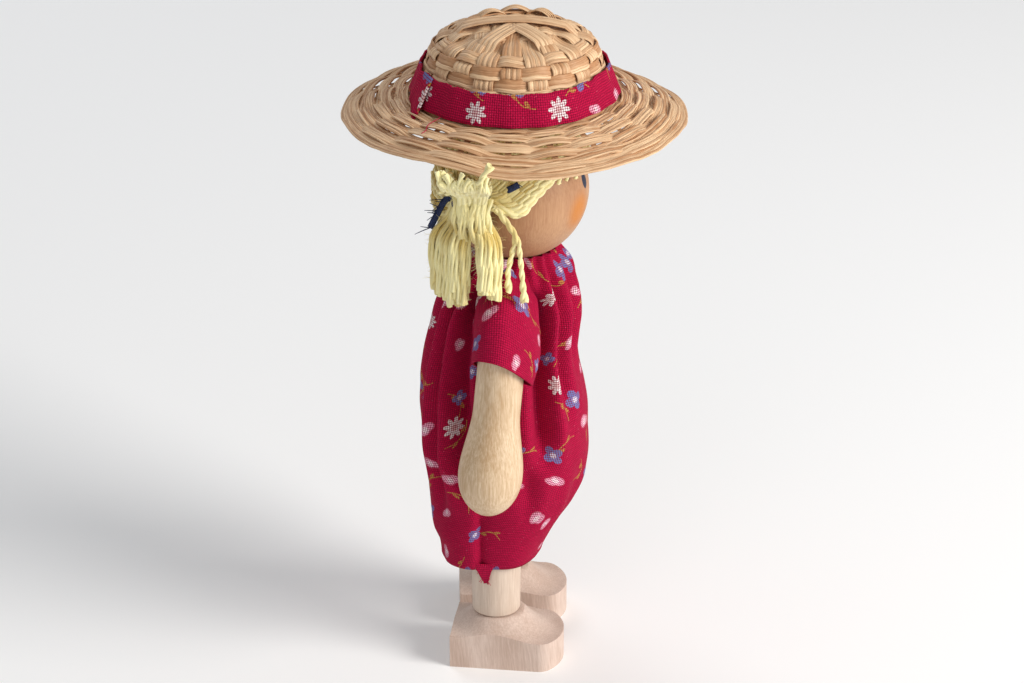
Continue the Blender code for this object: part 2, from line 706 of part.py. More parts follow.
def make_hat():
    """Woven sheet from the brim's edge to the top of the crown, with open gaps over the dome."""
    line = hat_line()
    count = 2 * HAT_STAKES
    faces = {}
    for face in (1, -1):
        rings = []
        for row, (radius, height) in enumerate(line[:-1]):
            before = line[max(row - 1, 0)]
            after = line[row + 1]
            run = Vector((after[0] - before[0], after[1] - before[1])).normalized()
            ring = []
            for step in range(count):
                angle = 2 * math.pi * step / count - math.pi / 2
                shift = face * HAT_SHEET / 2 + HAT_WAVE * weave(row, step)
                reach = radius + shift * run.y
                ring.append((reach * math.cos(angle), reach * math.sin(angle), height - shift * run.x))
            rings.append(ring)
        rings.append([(0, 0, line[-1][1] + face * HAT_SHEET / 2)])
        faces[face] = rings
    edge_radius, edge_height = line[0]
    edge = []
    for step in range(count):
        angle = 2 * math.pi * step / count - math.pi / 2
        reach = edge_radius + HAT_SHEET / 4
        edge.append((reach * math.cos(angle), reach * math.sin(angle), edge_height))
    top = len(line) - 1
    inside = top + 2
    gaps = []
    for row in range(2 * (BRIM_ROWS + CROWN_WALL_ROWS), top, 2):
        for step in range(1, count, 2):
            gaps.append(((top - row, step), (inside + row, step)))
    add("straw_hat", skin(faces[1][::-1] + [edge] + faces[-1], woven=True, gaps=gaps), "hat")


def make_hat_band():
    low = CROWN_BASE_Z + HAT_SKIN + REST_GAP
    slope = (CROWN_BASE_DIAMETER - CROWN_TOP_DIAMETER) / 2 / (CROWN_HEIGHT - CROWN_DOME)
    rings = []
    for outward, heights in ((0, (0, 0.5, 1)), (BAND_CLOTH, (1, 0.5, 0))):
        for share in heights:
            height = low + BAND_WIDTH * share
            radius = CROWN_BASE_DIAMETER / 2 - slope * (height - CROWN_BASE_Z)
            radius += HAT_SKIN + REST_GAP + outward
            ring = []
            for step in range(2 * HAT_STAKES):
                angle = 2 * math.pi * step / (2 * HAT_STAKES) - math.pi / 2
                ring.append((radius * math.cos(angle), radius * math.sin(angle), height))
            rings.append(ring)
    add("hat_band", skin(rings, loop=True), "band")


def make_hair_cap():
    """Wig round the head that fills the hat's crown, so the hat seats on it."""
    skin_out = REST_GAP + HAIR_THICKNESS
    back_low = HEAD_Z - HAIRLINE_BACK
    start = back_low - 2 * MM
    profile = []
    for step in range(5):
        height = mix(start, HEAD_Z, step / 4)
        profile.append((head_radius(height, skin_out), height))
    top = CROWN_TOP_Z - HAT_SKIN - REST_GAP
    for step in range(1, 10):
        share = math.sin(math.pi / 2 * step / 10)
        profile.append((HAIR_RADIUS * (1 - share**HAIR_DOME) ** (1 / HAIR_DOME), mix(HEAD_Z, top, share)))
    profile.append((0, top))
    hair = add("hair_cap", turned(profile, FINE), "hair")
    inside = []
    rows = 14
    grown = REST_GAP
    for step in range(rows + 1):
        angle = mix(-math.pi / 2, math.pi / 2, step / rows)
        radius = (HEAD_WIDTH / 2 + grown) * math.cos(angle)
        height = HEAD_Z + (HEAD_HEIGHT / 2 + grown) * math.sin(angle)
        inside.append((0 if step in (0, rows) else radius, height))
    cut(hair, add_cutter("head_hollow", turned(inside, FINE)))
    front_low = HEAD_Z + HAIRLINE_FRONT
    reach = 2 * HAIR_RADIUS
    slope = (front_low - back_low) / (2 * HAIR_RADIUS)
    middle = mix(front_low, back_low, 0.5)
    wedge = []
    for across in (-reach, reach):
        ring = []
        for deep in (-reach, reach):
            ring.append((across, deep, middle - slope * deep))
        for deep in (reach, -reach):
            ring.append((across, deep, HEAD_BASE - 2 * reach))
        wedge.append(ring)
    cut(hair, add_cutter("hairline", skin(wedge)))


def beside_head(side, out, round_back):
    """Point beside the head: out from the neck's axis at the pigtail, then round to the back."""
    across = out * math.cos(PIGTAIL_ANGLE) - round_back * math.sin(PIGTAIL_ANGLE)
    deep = out * math.sin(PIGTAIL_ANGLE) + round_back * math.cos(PIGTAIL_ANGLE)
    return Vector((side * across, deep, 0))


def make_pigtail(word, side):
    """Yarn bunch: a tuft from the brim to the tie, then a hanging bunch."""
    inside = HAIR_RADIUS + REST_GAP
    reach = math.hypot(inside + TUFT_THICKNESS, TUFT_WIDTH / 2)
    share = (reach - BRIM_DIAMETER / 2) / (CROWN_BASE_DIAMETER / 2 - BRIM_DIAMETER / 2)
    top = brim_line(share)[1] - HAT_SKIN - REST_GAP
    collar = RIBBON_WIDTH / 2 + REST_GAP
    room = RIBBON_THICKNESS + 2 * REST_GAP
    bottom = TIE_Z - PIGTAIL_DROP
    below = (mix(TIE_THICKNESS, PIGTAIL_THICKNESS, 0.4), mix(TIE_WIDTH, PIGTAIL_WIDTH, 0.35))
    above = (mix(TIE_THICKNESS, TUFT_THICKNESS, 0.4), mix(TIE_WIDTH, TUFT_WIDTH, 0.4))
    rows = [
        (bottom, PIGTAIL_THICKNESS * 0.66, PIGTAIL_WIDTH * 0.84, 0),
        (mix(bottom, TIE_Z, 0.1), PIGTAIL_THICKNESS * 0.92, PIGTAIL_WIDTH, 0),
        (mix(bottom, TIE_Z, 0.35), PIGTAIL_THICKNESS, PIGTAIL_WIDTH * 0.98, 0),
        (mix(bottom, TIE_Z, 0.65), PIGTAIL_THICKNESS * 0.9, PIGTAIL_WIDTH * 0.82, 0),
        (TIE_Z - 2 * collar, *below, room / 2),
        (TIE_Z - collar, TIE_THICKNESS, TIE_WIDTH, room),
        (TIE_Z + collar, TIE_THICKNESS, TIE_WIDTH, room),
        (TIE_Z + 2 * collar, *above, room / 2),
        (mix(TIE_Z, top, 0.65), TUFT_THICKNESS, TUFT_WIDTH, 0),
        (mix(TIE_Z, top, 0.85), TUFT_THICKNESS * 0.95, TUFT_WIDTH * 0.95, 0),
        (top, TUFT_THICKNESS * 0.6, TUFT_WIDTH * 0.65, 0),
    ]
    rings = []
    for height, thickness, width, away in rows:
        ring = []
        for step in range(SMALL):
            angle = 2 * math.pi * step / SMALL
            out = inside + away + thickness / 2 * (1 + math.cos(angle))
            ring.append(beside_head(side, out, width / 2 * math.sin(angle)) + Vector((0, 0, height)))
        rings.append(ring)
    add("pigtail_" + word, skin(rings), "pigtail")


def facing_reach(face, toward):
    """How far a face lies along a direction, a little more where it faces that way."""
    return face.calc_center_median().dot(toward) + MM * face.normal.dot(toward)


def make_ribbon(word, side):
    """Ribbon round the tie with one end out to the back and a short one to the front."""
    centre = HAIR_RADIUS + RIBBON_THICKNESS + 3 * REST_GAP + TIE_THICKNESS / 2
    rings = []
    for outward, level in ((0, -0.5), (0, 0.5), (1, 0.5), (1, -0.5)):
        ring = []
        grow = REST_GAP + outward * RIBBON_THICKNESS
        for step in range(SMALL):
            angle = 2 * math.pi * (step + 0.5) / SMALL
            out = centre + (TIE_THICKNESS / 2 + grow) * math.cos(angle)
            round_back = (TIE_WIDTH / 2 + grow) * math.sin(angle)
            ring.append(beside_head(side, out, round_back) + Vector((0, 0, TIE_Z + level * RIBBON_WIDTH)))
        rings.append(ring)
    shape = skin(rings, loop=True)
    for way, length, tip in ((1, RIBBON_TAIL_BACK, -0.7), (-1, RIBBON_TAIL_FRONT, 0.5)):
        toward = beside_head(side, 0.35, way)
        shape.faces.ensure_lookup_table()
        start = max(shape.faces, key=lambda face: facing_reach(face, toward))
        end = bmesh.ops.extrude_discrete_faces(shape, faces=[start])["faces"][0]
        middle = end.calc_center_median()
        run = (toward + Vector((0, 0, tip))).normalized() * length
        for corner in end.verts:
            corner.co = middle + (corner.co - middle) * 0.8 + run
    bmesh.ops.recalc_face_normals(shape, faces=shape.faces)
    add("ribbon_" + word, shape, "ribbon")


def make_doll():
    clear_scene()
    for word, side in SIDES.items():
        make_shoe(word, side)
        make_leg(word, side)
        make_arm(word, side)
        make_sleeve(word, side)
        make_pigtail(word, side)
        make_ribbon(word, side)
    make_torso()
    make_neck_and_head()
    make_arm_cord()
    make_dress()
    make_hair_cap()
    make_hat()
    make_hat_band()


make_doll()
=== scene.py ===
# %% [markdown]
# # A miniature wooden doll in a straw hat
#
# The real doll is about 134 mm tall: turned wooden head, arms and legs, carved shoes, a printed
# cotton dress, yarn hair and a woven straw hat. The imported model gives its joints, its wooden
# parts and plain solids for everything soft. The soft pieces could be sculpted by hand, but short
# rules in a script can be read, resized and rerun, so this lesson dresses the doll with those.
# The doll faces -Y and +Z is up. Lengths are metres, and shapes that are led by hand are in
# millimetres until they are made.

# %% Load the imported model
import math
import random

import bmesh
import bpy
from mathutils import Euler, Matrix, Vector, noise


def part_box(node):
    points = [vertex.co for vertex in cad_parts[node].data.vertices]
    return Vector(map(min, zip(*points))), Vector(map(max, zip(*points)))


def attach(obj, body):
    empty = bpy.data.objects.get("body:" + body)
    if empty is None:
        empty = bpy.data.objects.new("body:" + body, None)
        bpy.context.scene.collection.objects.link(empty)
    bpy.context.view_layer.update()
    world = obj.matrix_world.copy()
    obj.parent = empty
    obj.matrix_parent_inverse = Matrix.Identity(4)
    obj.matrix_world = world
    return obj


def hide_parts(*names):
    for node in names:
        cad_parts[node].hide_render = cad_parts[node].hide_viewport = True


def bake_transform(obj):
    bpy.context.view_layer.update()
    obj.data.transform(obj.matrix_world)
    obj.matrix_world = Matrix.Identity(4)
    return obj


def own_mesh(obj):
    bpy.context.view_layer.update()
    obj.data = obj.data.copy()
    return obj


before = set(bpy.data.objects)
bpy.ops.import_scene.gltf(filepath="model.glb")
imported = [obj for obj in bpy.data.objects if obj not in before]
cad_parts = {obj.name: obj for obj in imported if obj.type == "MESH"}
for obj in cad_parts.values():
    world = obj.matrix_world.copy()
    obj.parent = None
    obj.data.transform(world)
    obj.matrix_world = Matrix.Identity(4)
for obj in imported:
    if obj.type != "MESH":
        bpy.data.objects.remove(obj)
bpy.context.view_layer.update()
MM = 0.001
SIDES = {"right": -1, "left": 1}

# %% [markdown]
# ## Camera
#
# A small object is photographed from a little over half a metre with a long lens, here looking
# down at its right side. A camera could be placed by eye. This one has an angle for its turn and
# its rise, and its lens follows from how many pixels a millimetre covers, so that each can be
# corrected by itself.

# %% Camera
IMAGE_WIDTH = 1024
IMAGE_SHIFT = -2.5
PIXELS_PER_MM = 5.0
CAMERA_DISTANCE = 600 * MM
CAMERA_TURN = math.radians(-87.4)
CAMERA_RISE = math.radians(25)
CAMERA_TARGET = Vector((0, 0, 66.3 * MM))
SENSOR = 36.0
NEAREST = 10 * MM


def add(name, data):
    """New object in the scene, at the origin."""
    made = bpy.data.objects.new(name, data)
    bpy.context.scene.collection.objects.link(made)
    return made


eye = bpy.data.cameras.new("camera")
eye.sensor_width = SENSOR
eye.lens = PIXELS_PER_MM * CAMERA_DISTANCE / MM / IMAGE_WIDTH * SENSOR
eye.shift_x = IMAGE_SHIFT / IMAGE_WIDTH
eye.clip_start = NEAREST
camera = add("camera", eye)
bpy.context.scene.camera = camera
back = Vector((
    math.sin(CAMERA_TURN) * math.cos(CAMERA_RISE),
    -math.cos(CAMERA_TURN) * math.cos(CAMERA_RISE),
    math.sin(CAMERA_RISE),
))
camera.location = CAMERA_TARGET + back * CAMERA_DISTANCE
camera.rotation_euler = (-back).to_track_quat("-Z", "Y").to_euler()
print("camera lens in mm:", round(eye.lens, 1))

# %% [markdown]
# ## Light and floor
#
# Colours stay true in soft light. A large panel stands in front of the doll and a little to its
# right, a weak one is near the camera, and one behind the doll lights the far edges. Small lamps
# would give hard shadows, so all three are wide discs, and a pale surround and floor fill the rest.

# %% Lights and floor
LIGHT_TARGET = Vector((0, 0, 0.07))
SURROUND_COLOUR = (0.95, 0.97, 1, 1)
SURROUND_STRENGTH = 0.38
FLOOR_REACH = 3
FLOOR_LOOK = {"Base Color": (0.95, 0.95, 0.95, 1), "Roughness": 0.9}
# Panels of light: place, size, power and colour.
PANELS = {
    "front_panel": ((-0.34, -0.82, 0.5), 0.55, 10.2, (1, 0.97, 0.93)),
    "camera_panel": ((-0.75, 0.15, 0.75), 0.7, 1.05, (1, 0.98, 0.96)),
    "far_panel": ((0.7, 0.5, 0.8), 0.6, 2.6, (0.96, 0.98, 1)),
}
for name, (place, size, power, colour) in PANELS.items():
    panel = bpy.data.lights.new(name, "AREA")
    panel.shape = "DISK"
    panel.size, panel.energy, panel.color = size, power, colour
    lamp = add(name, panel)
    lamp.location = place
    lamp.rotation_euler = (LIGHT_TARGET - Vector(place)).to_track_quat("-Z", "Y").to_euler()

surround = bpy.data.worlds.new("surround")
surround.use_nodes = True
sky = surround.node_tree.nodes["Background"].inputs
sky["Color"].default_value = SURROUND_COLOUR
sky["Strength"].default_value = SURROUND_STRENGTH
bpy.context.scene.world = surround
bpy.context.scene.view_settings.view_transform = "Standard"

floor_corners = [(x * FLOOR_REACH, y * FLOOR_REACH, 0) for x, y in ((-1, -1), (1, -1), (1, 1), (-1, 1))]
floor_mesh = bpy.data.meshes.new("floor")
floor_mesh.from_pydata(floor_corners, [], [(0, 1, 2, 3)])
floor = add("floor", floor_mesh)
paper = bpy.data.materials.new("pale_floor")
paper.use_nodes = True
for socket, value in FLOOR_LOOK.items():
    paper.node_tree.nodes["Principled BSDF"].inputs[socket].default_value = value
floor_mesh.materials.append(paper)
print("lights and floor placed")

# %% [markdown]
# ## A small kit for finishes
#
# Every finish on the doll is a node tree on a Principled shader. Nodes could be linked one by one,
# but such a script hides the finish behind its wiring. In this kit a step takes values or earlier
# steps, makes one node and hands back its output, so that a finish reads like a formula.


# %% Node kit
def linear(code):
    """Colour code in hexadecimal to linear red, green and blue with alpha."""
    parts = [int(code[place:place + 2], 16) / 255 for place in (0, 2, 4)]
    return (*[part / 12.92 if part < 0.04045 else ((part + 0.055) / 1.055) ** 2.4 for part in parts], 1)


class Steps:
    """A node tree that is added to step by step."""

    def feed(self, socket, value):
        if isinstance(value, bpy.types.NodeSocket):
            self.tree.links.new(value, socket)
        else:
            coded = socket.type == "RGBA" and isinstance(value, str)
            socket.default_value = linear(value) if coded else value

    def node(self, kind, inputs=None, **settings):
        step = self.tree.nodes.new(kind)
        for name, value in settings.items():
            setattr(step, name, value)
        for name, value in (inputs or {}).items():
            self.feed(step.inputs[name], value)
        return step

    def math(self, operation, *values):
        return self.node("ShaderNodeMath", dict(enumerate(values)), operation=operation).outputs[0]

    def times(self, first, last):
        return self.math("MULTIPLY", first, last)

    def plus(self, first, last):
        return self.math("ADD", first, last)

    def minus(self, first, last):
        return self.math("SUBTRACT", first, last)

    def vector(self, operation, *values):
        step = self.node("ShaderNodeVectorMath", operation=operation)
        for place, value in enumerate(values):
            self.feed(step.inputs["Scale" if operation == "SCALE" and place else place], value)
        return step.outputs["Value" if operation == "LENGTH" else "Vector"]

    def split(self, where):
        return self.node("ShaderNodeSeparateXYZ", {"Vector": where}).outputs

    def join(self, **parts):
        return self.node("ShaderNodeCombineXYZ", parts).outputs["Vector"]


print("node kit ready")


# %% Finish kit
class Finish(Steps):
    """A Principled material. What is the same all over is set on the shader's own sockets."""

    def __init__(self, name, settings):
        self.look = bpy.data.materials.new(name)
        self.look.use_nodes = True
        self.tree = self.look.node_tree
        self.shader = self.tree.nodes["Principled BSDF"]
        for socket, value in settings.items():
            self.shader.inputs[socket].default_value = value

    def mix(self, share, first, last):
        return self.node("ShaderNodeMix", {0: share, 6: first, 7: last}, data_type="RGBA").outputs[2]

    def band(self, value, low, high):
        """0 below low, 1 above high, smooth between."""
        settings = {"Value": value, "From Min": low, "From Max": high}
        return self.node("ShaderNodeMapRange", settings, interpolation_type="SMOOTHSTEP").outputs[0]

    def oval(self, where, centre, stretch, low, high):
        """1 in an oval and 0 outside it, smooth between two distances from its centre."""
        away = self.vector("SUBTRACT", where, centre)
        reach = self.vector("LENGTH", self.vector("MULTIPLY", away, stretch))
        return self.minus(1.0, self.band(reach, low, high))

    def here(self):
        """Object coordinates, which stay in a piece when it moves."""
        return self.node("ShaderNodeTexCoord").outputs["Object"]

    def place(self, scale, turn=(0, 0, 0)):
        """Object coordinates, turned and scaled."""
        settings = {"Vector": self.here(), "Scale": scale, "Rotation": turn}
        return self.node("ShaderNodeMapping", settings).outputs["Vector"]

    def carried(self, name):
        """Value that a strand's mesh carries."""
        return self.node("ShaderNodeAttribute", attribute_name=name).outputs["Fac"]

    def noise(self, where, detail=3.0, rough=0.55, scale=1.0):
        settings = {"Vector": where, "Scale": scale, "Detail": detail, "Roughness": rough}
        return self.node("ShaderNodeTexNoise", settings).outputs["Fac"]

    def bump(self, height, strength, distance):
        settings = {"Height": height, "Strength": strength, "Distance": distance}
        self.feed(self.shader.inputs["Normal"], self.node("ShaderNodeBump", settings).outputs["Normal"])

    def paint(self, colour):
        self.feed(self.shader.inputs["Base Color"], colour)


print("finish kit ready")

# %% [markdown]
# ## Bare wood
#
# The doll is turned from pale, close-grained wood and left nearly bare. Close up there are fine
# streaks along the grain, short darker flecks and a slow change of tone. A picture of wood would
# show its edges and repeat. Here all three are noise that is stretched along the grain, read in
# object coordinates so that it stays in the wood when a limb moves.

# %% Wood finish
PER_MM = (1000, 1000, 1000)
# Detail for each millimetre, twice across the grain and then along it.
STREAKS = (3.2, 3.2, 0.16)
FLECKS = (5.5, 5.5, 0.9)
SLOW_TONE = (0.16, 0.16, 0.05)
WOOD_RELIEF = 0.12 * MM
WOOD_SHINE = 0.35


def wood_steps(finish, pale, deep, grain_turn=(0, 0, 0), fleck=0.5):
    """Colour of bare wood with its grain along Z, before any paint."""
    along = finish.place(PER_MM, grain_turn)
    streak = finish.noise(finish.vector("MULTIPLY", along, STREAKS), 5.0, 0.65)
    flecks = finish.noise(finish.vector("MULTIPLY", along, FLECKS), 2.0)
    flecks = finish.band(flecks, 0.58, 0.72)
    slow = finish.noise(finish.vector("MULTIPLY", along, SLOW_TONE), 2.0)
    tone = finish.plus(finish.times(streak, 0.65), finish.times(slow, 0.5))
    colour = finish.mix(finish.band(tone, 0.35, 0.8), pale, deep)
    colour = finish.mix(finish.times(flecks, fleck), colour, deep)
    finish.bump(finish.minus(streak, finish.times(flecks, 0.6)), 0.25, WOOD_RELIEF)
    return colour


def make_wood(name, pale, deep, roughness, **grain):
    finish = Finish(name, {"Roughness": roughness, "Specular IOR Level": WOOD_SHINE})
    finish.paint(wood_steps(finish, pale, deep, **grain))
    return finish.look


arm_wood = make_wood("arm_maple", "E5CEAF", "B8946C", 0.42)
leg_wood = make_wood("leg_beech", "DDCBBA", "C2AB98", 0.6, fleck=0.3)
shoe_wood = make_wood("shoe_beech", "DAC5B8", "BCA292", 0.6, grain_turn=(0.1, 0.06, 0), fleck=0.35)
inner_wood = make_wood("inner_wood", "DCC09A", "BE9C74", 0.65)
print("wood finishes:", [look.name for look in (arm_wood, leg_wood, shoe_wood, inner_wood)])

# %% [markdown]
# ## The painted head
#
# The head is one turned ball. Its paint is thin: a round orange blush on each cheek that lets the
# grain through, two dark blue eyes just under the hat and a small mouth. The marks could be
# separate shapes laid on the ball, but paint has no edge to catch the light. So each mark is a
# soft-edged distance from a point on the face, mixed over the wood.

# %% Head finish
# Marks of paint: centre in millimetres, stretch, and size and softness in millimetres.
CHEEK = ((6.4, -12.9, 97.4), (1, 1, 0.9), 3.0, 1.8)
EYE = ((3.8, -13.7, 102.8), (1.25, 0.6, 0.8), 1.3, 0.12)
MOUTH = ((0, -14.2, 93.4), (0.24, 0.2, 1), 0.42, 0.1)
MOUTH_CURVE = -90.0


def mark(finish, where, centre, stretch, size, softness):
    """1 inside an oval mark on the face, with a soft edge."""
    centre = [part * MM for part in centre]
    return finish.oval(where, centre, stretch, (size - softness) * MM, (size + softness) * MM)


def make_head_finish():
    finish = Finish("painted_head", {"Roughness": 0.5, "Specular IOR Level": WOOD_SHINE})
    colour = wood_steps(finish, "BB916C", "A27352", fleck=0.3)
    here = finish.here()
    mirrored = finish.vector("ABSOLUTE", finish.vector("MULTIPLY", here, (1, 0, 0)))
    where = finish.vector("ADD", mirrored, finish.vector("MULTIPLY", here, (0, 1, 1)))
    colour = finish.mix(finish.times(mark(finish, where, *CHEEK), 0.8), colour, "BD7010")
    colour = finish.mix(mark(finish, where, *EYE), colour, "1A2038")
    squared = finish.split(finish.vector("MULTIPLY", where, where))["X"]
    raised = finish.vector("ADD", where, finish.join(Z=finish.times(squared, MOUTH_CURVE)))
    colour = finish.mix(finish.times(mark(finish, raised, *MOUTH), 0.9), colour, "B8423C")
    finish.paint(colour)
    return finish.look


head_finish = make_head_finish()
print("face painted")

# %% [markdown]
# ## Turned wood
#
# Legs, arms and head come off a lathe, so each is a profile swept round an axis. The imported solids
# have the same profiles with few facets, and could be smoothed by a modifier, but that would round
# off their edges as well. These copies have many facets from the start, because a highlight on a
# limb shows every one of them, and only angles over 40 degrees stay sharp.

# %% Mesh kit
SHARP = math.radians(40)


def link(name, mesh, finish=None):
    """New piece from a mesh, smooth, in a finish unless the mesh has its own."""
    if finish is not None:
        mesh.materials.clear()
        mesh.materials.append(finish)
    mesh.polygons.foreach_set("use_smooth", [True] * len(mesh.polygons))
    return add(name, mesh)


def skin(rings, closed_ends=True):
    """Mesh over rings of points, where a ring of one point is a pole."""
    shape = bmesh.new()
    made = [[shape.verts.new(point) for point in ring] for ring in rings]
    for lower, upper in zip(made, made[1:]):
        for step in range(max(len(lower), len(upper))):
            corners = []
            for ring, index in ((lower, step), (lower, step + 1), (upper, step + 1), (upper, step)):
                corner = ring[index % len(ring)]
                if corner not in corners:
                    corners.append(corner)
            shape.faces.new(corners)
    if closed_ends:
        for ring in (made[0], made[-1]):
            if len(ring) > 1:
                shape.faces.new(ring)
    bmesh.ops.recalc_face_normals(shape, faces=shape.faces)
    return shape


def settle(shape, name, finish):
    """Piece from a finished bmesh."""
    mesh = bpy.data.meshes.new(name)
    shape.to_mesh(mesh)
    shape.free()
    piece = link(name, mesh, finish)
    mesh.set_sharp_from_angle(angle=SHARP)
    return piece


print("mesh kit ready")


# %% Lathe kit
def mix(first, last, share):
    return first + (last - first) * share


def ease(value):
    """0 to 1 as the value goes from 0 to 1, with a soft start and end."""
    value = min(max(value, 0), 1)
    return value * value * (3 - 2 * value)


def shares(count):
    """Even steps from 0 to 1."""
    return [step / count for step in range(count + 1)]


def around(count, shift=0):
    """Angles of a number of even steps round a full turn."""
    return [2 * math.pi * (step + shift) / count for step in range(count)]


def polar(radius, turn, height):
    return radius * math.cos(turn), radius * math.sin(turn), height


def turned(profile, facets=72):
    """Lathe work from a profile of radii and heights, where a radius of 0 is a pole."""
    rings = []
    for radius, height in profile:
        rings.append([polar(radius, turn, height) for turn in (around(facets) if radius > 0 else [0])])
    return skin(rings)


print("lathe kit ready")

# %% [markdown]
# The legs are dowels, a little thinner at the ankle, with a tenon at each end that goes into the
# shoe and the torso. Their edges are broken as sandpaper breaks them.

# %% Legs
LEG_X = 9.3 * MM
LEG_Y = 3.3 * MM
LEG_BASE = 10.9 * MM
LEG_TOP = 35.7 * MM
LEG_TENON = 3.0 * MM
LEG_STEPS = 12
ANKLE, KNEE = 4.9, 5.2
ANKLE_EDGE = [(4.55, 0), (4.8, 0.1), (ANKLE, 0.35)]
KNEE_EDGE = 0.3


def leg_profile(low, high):
    points = [(LEG_TENON, low), (LEG_TENON, LEG_BASE)]
    points += [(radius * MM, LEG_BASE + rise * MM) for radius, rise in ANKLE_EDGE]
    start, end = points[-1][1], LEG_TOP - KNEE_EDGE * MM
    for share in shares(LEG_STEPS)[1:]:
        points.append((mix(ANKLE, KNEE, share) * MM, mix(start, end, share)))
    return points + [(ANKLE * MM, LEG_TOP), (LEG_TENON, LEG_TOP), (LEG_TENON, high)]


for word, side in SIDES.items():
    leg_low, leg_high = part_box("leg_" + word)
    shape = turned(leg_profile(leg_low.z, leg_high.z))
    bmesh.ops.translate(shape, verts=shape.verts, vec=(side * LEG_X, LEG_Y, 0))
    leg = settle(shape, "leg_turned_" + word, leg_wood)
    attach(leg, "body")
    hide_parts("leg_" + word)
print("legs turned, length in mm:", round((LEG_TOP - LEG_BASE) / MM, 1))

# %% [markdown]
# The head is slightly flattened, and flat below, where its socket takes the neck peg.

# %% Head
HEAD_Z = 99.62 * MM
HEAD_HALF_WIDTH = 14.6 * MM
HEAD_HALF_HEIGHT = 14.0 * MM
HEAD_SOCKET = 3.3 * MM
HEAD_SOCKET_DEPTH = 5.5 * MM
HEAD_FLAT_RADIUS = 4.5 * MM
HEAD_FLAT = -math.acos(HEAD_FLAT_RADIUS / HEAD_HALF_WIDTH)
HEAD_STEPS, HEAD_FACETS = 40, 96

profile = [(HEAD_SOCKET, HEAD_Z - HEAD_SOCKET_DEPTH)]
profile.append((HEAD_SOCKET, HEAD_Z + HEAD_HALF_HEIGHT * math.sin(HEAD_FLAT)))
for share in shares(HEAD_STEPS)[:-1]:
    angle = mix(HEAD_FLAT, math.pi / 2, share)
    radius = HEAD_HALF_WIDTH * math.cos(angle)
    profile.append((radius, HEAD_Z + HEAD_HALF_HEIGHT * math.sin(angle)))
profile.append((0, HEAD_Z + HEAD_HALF_HEIGHT))
head = settle(turned(profile, HEAD_FACETS), "head_turned", head_finish)
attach(head, "head")
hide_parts("head")
print("head turned, width in mm:", round(2 * HEAD_HALF_WIDTH / MM, 1))

# %% [markdown]
# An arm is a club: a round shoulder, a slim upper arm that swells towards the hand, and an oval
# tip. It hangs from the shoulder with a small tilt to the front, and spreads just enough for the
# hand to clear the dress.

# %% Arms
ARM_X = 19.92 * MM
SHOULDER_Y = 1.2 * MM
SHOULDER_Z = 75.5 * MM
ARM_LENGTH = 36.1 * MM
ARM_RADIUS = 4.6 * MM
HAND_RADIUS = 6.35 * MM
HAND_TIP = 8.5 * MM
HAND_GAP = 0.6 * MM
DRESS_HALF = 15.8 * MM
ARM_SWELL_START = 14 * MM
ARM_TILT = math.radians(5.2)
HAND_X = max(DRESS_HALF + HAND_GAP + HAND_RADIUS, ARM_X)
ARM_SPREAD = math.asin((HAND_X - ARM_X) / (ARM_LENGTH - HAND_TIP))
TIP_STEPS, SWELL_STEPS, SHOULDER_STEPS = 14, 24, 10


def arm_profile():
    points = [(0, -ARM_LENGTH)]
    for share in shares(TIP_STEPS)[1:]:
        angle = math.pi / 2 * share
        height = HAND_TIP - ARM_LENGTH - HAND_TIP * math.cos(angle)
        points.append((HAND_RADIUS * math.sin(angle), height))
    swell_end = ARM_LENGTH - HAND_TIP
    for share in shares(SWELL_STEPS)[1:]:
        down = mix(swell_end, 0, share)
        swell = ease((down - ARM_SWELL_START) / (swell_end - ARM_SWELL_START))
        points.append((mix(ARM_RADIUS, HAND_RADIUS, swell), -down))
    for share in shares(SHOULDER_STEPS)[1:-1]:
        angle = math.pi / 2 * share
        points.append((ARM_RADIUS * math.cos(angle), ARM_RADIUS * math.sin(angle)))
    return points + [(0, ARM_RADIUS)]


for word, side in SIDES.items():
    shape = turned(arm_profile())
    tilt = Euler((ARM_TILT, -side * ARM_SPREAD, 0), "YXZ").to_matrix().to_4x4()
    place = Matrix.Translation((side * ARM_X, SHOULDER_Y, SHOULDER_Z))
    bmesh.ops.transform(shape, matrix=place @ tilt, verts=shape.verts)
    arm = settle(shape, "arm_turned_" + word, arm_wood)
    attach(arm, word + "_arm")
    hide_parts("arm_" + word)
print("arms turned, spread in degrees:", round(math.degrees(ARM_SPREAD), 2))

# %% [markdown]
# ## Carved shoes
#
# The shoes are sawn and sanded blocks: flat sides and sole, a toe that is an arc in plan, and a top
# that rises to the ankle. A block cut by booleans would have a hard line where the instep starts.
# A grid with a height for each point gives a soft one, and a bevel rounds the sanded edges.

# %% Form of a shoe
SHOE_LENGTH = 22.6 * MM
SHOE_WIDTH = 14.4 * MM
SHOE_COLUMNS, SHOE_ROWS = 32, 36
HEEL_REACH = 8.7 * MM
HEEL_HEIGHT = 7.0 * MM
TOE_HEIGHT = 6.3 * MM
INSTEP_HEIGHT = 10.6 * MM
INSTEP_SLOPE = 5.6 * MM
INSTEP_RUN = 0.82
TOE_RADIUS = 9.6 * MM
TOE_CORNER = 1.1 * MM
TOE_OUT = math.radians(4.5)
ANKLE_RADIUS = 4.9 * MM


def shoe_top(across, along):
    plain = mix(HEEL_HEIGHT, TOE_HEIGHT, (HEEL_REACH - along) / SHOE_LENGTH)
    run = along * INSTEP_RUN if along < 0 else along
    left = 1 - min(max((math.hypot(across, run) - ANKLE_RADIUS) / INSTEP_SLOPE, 0), 1)
    return mix(plain, INSTEP_HEIGHT, left * left)


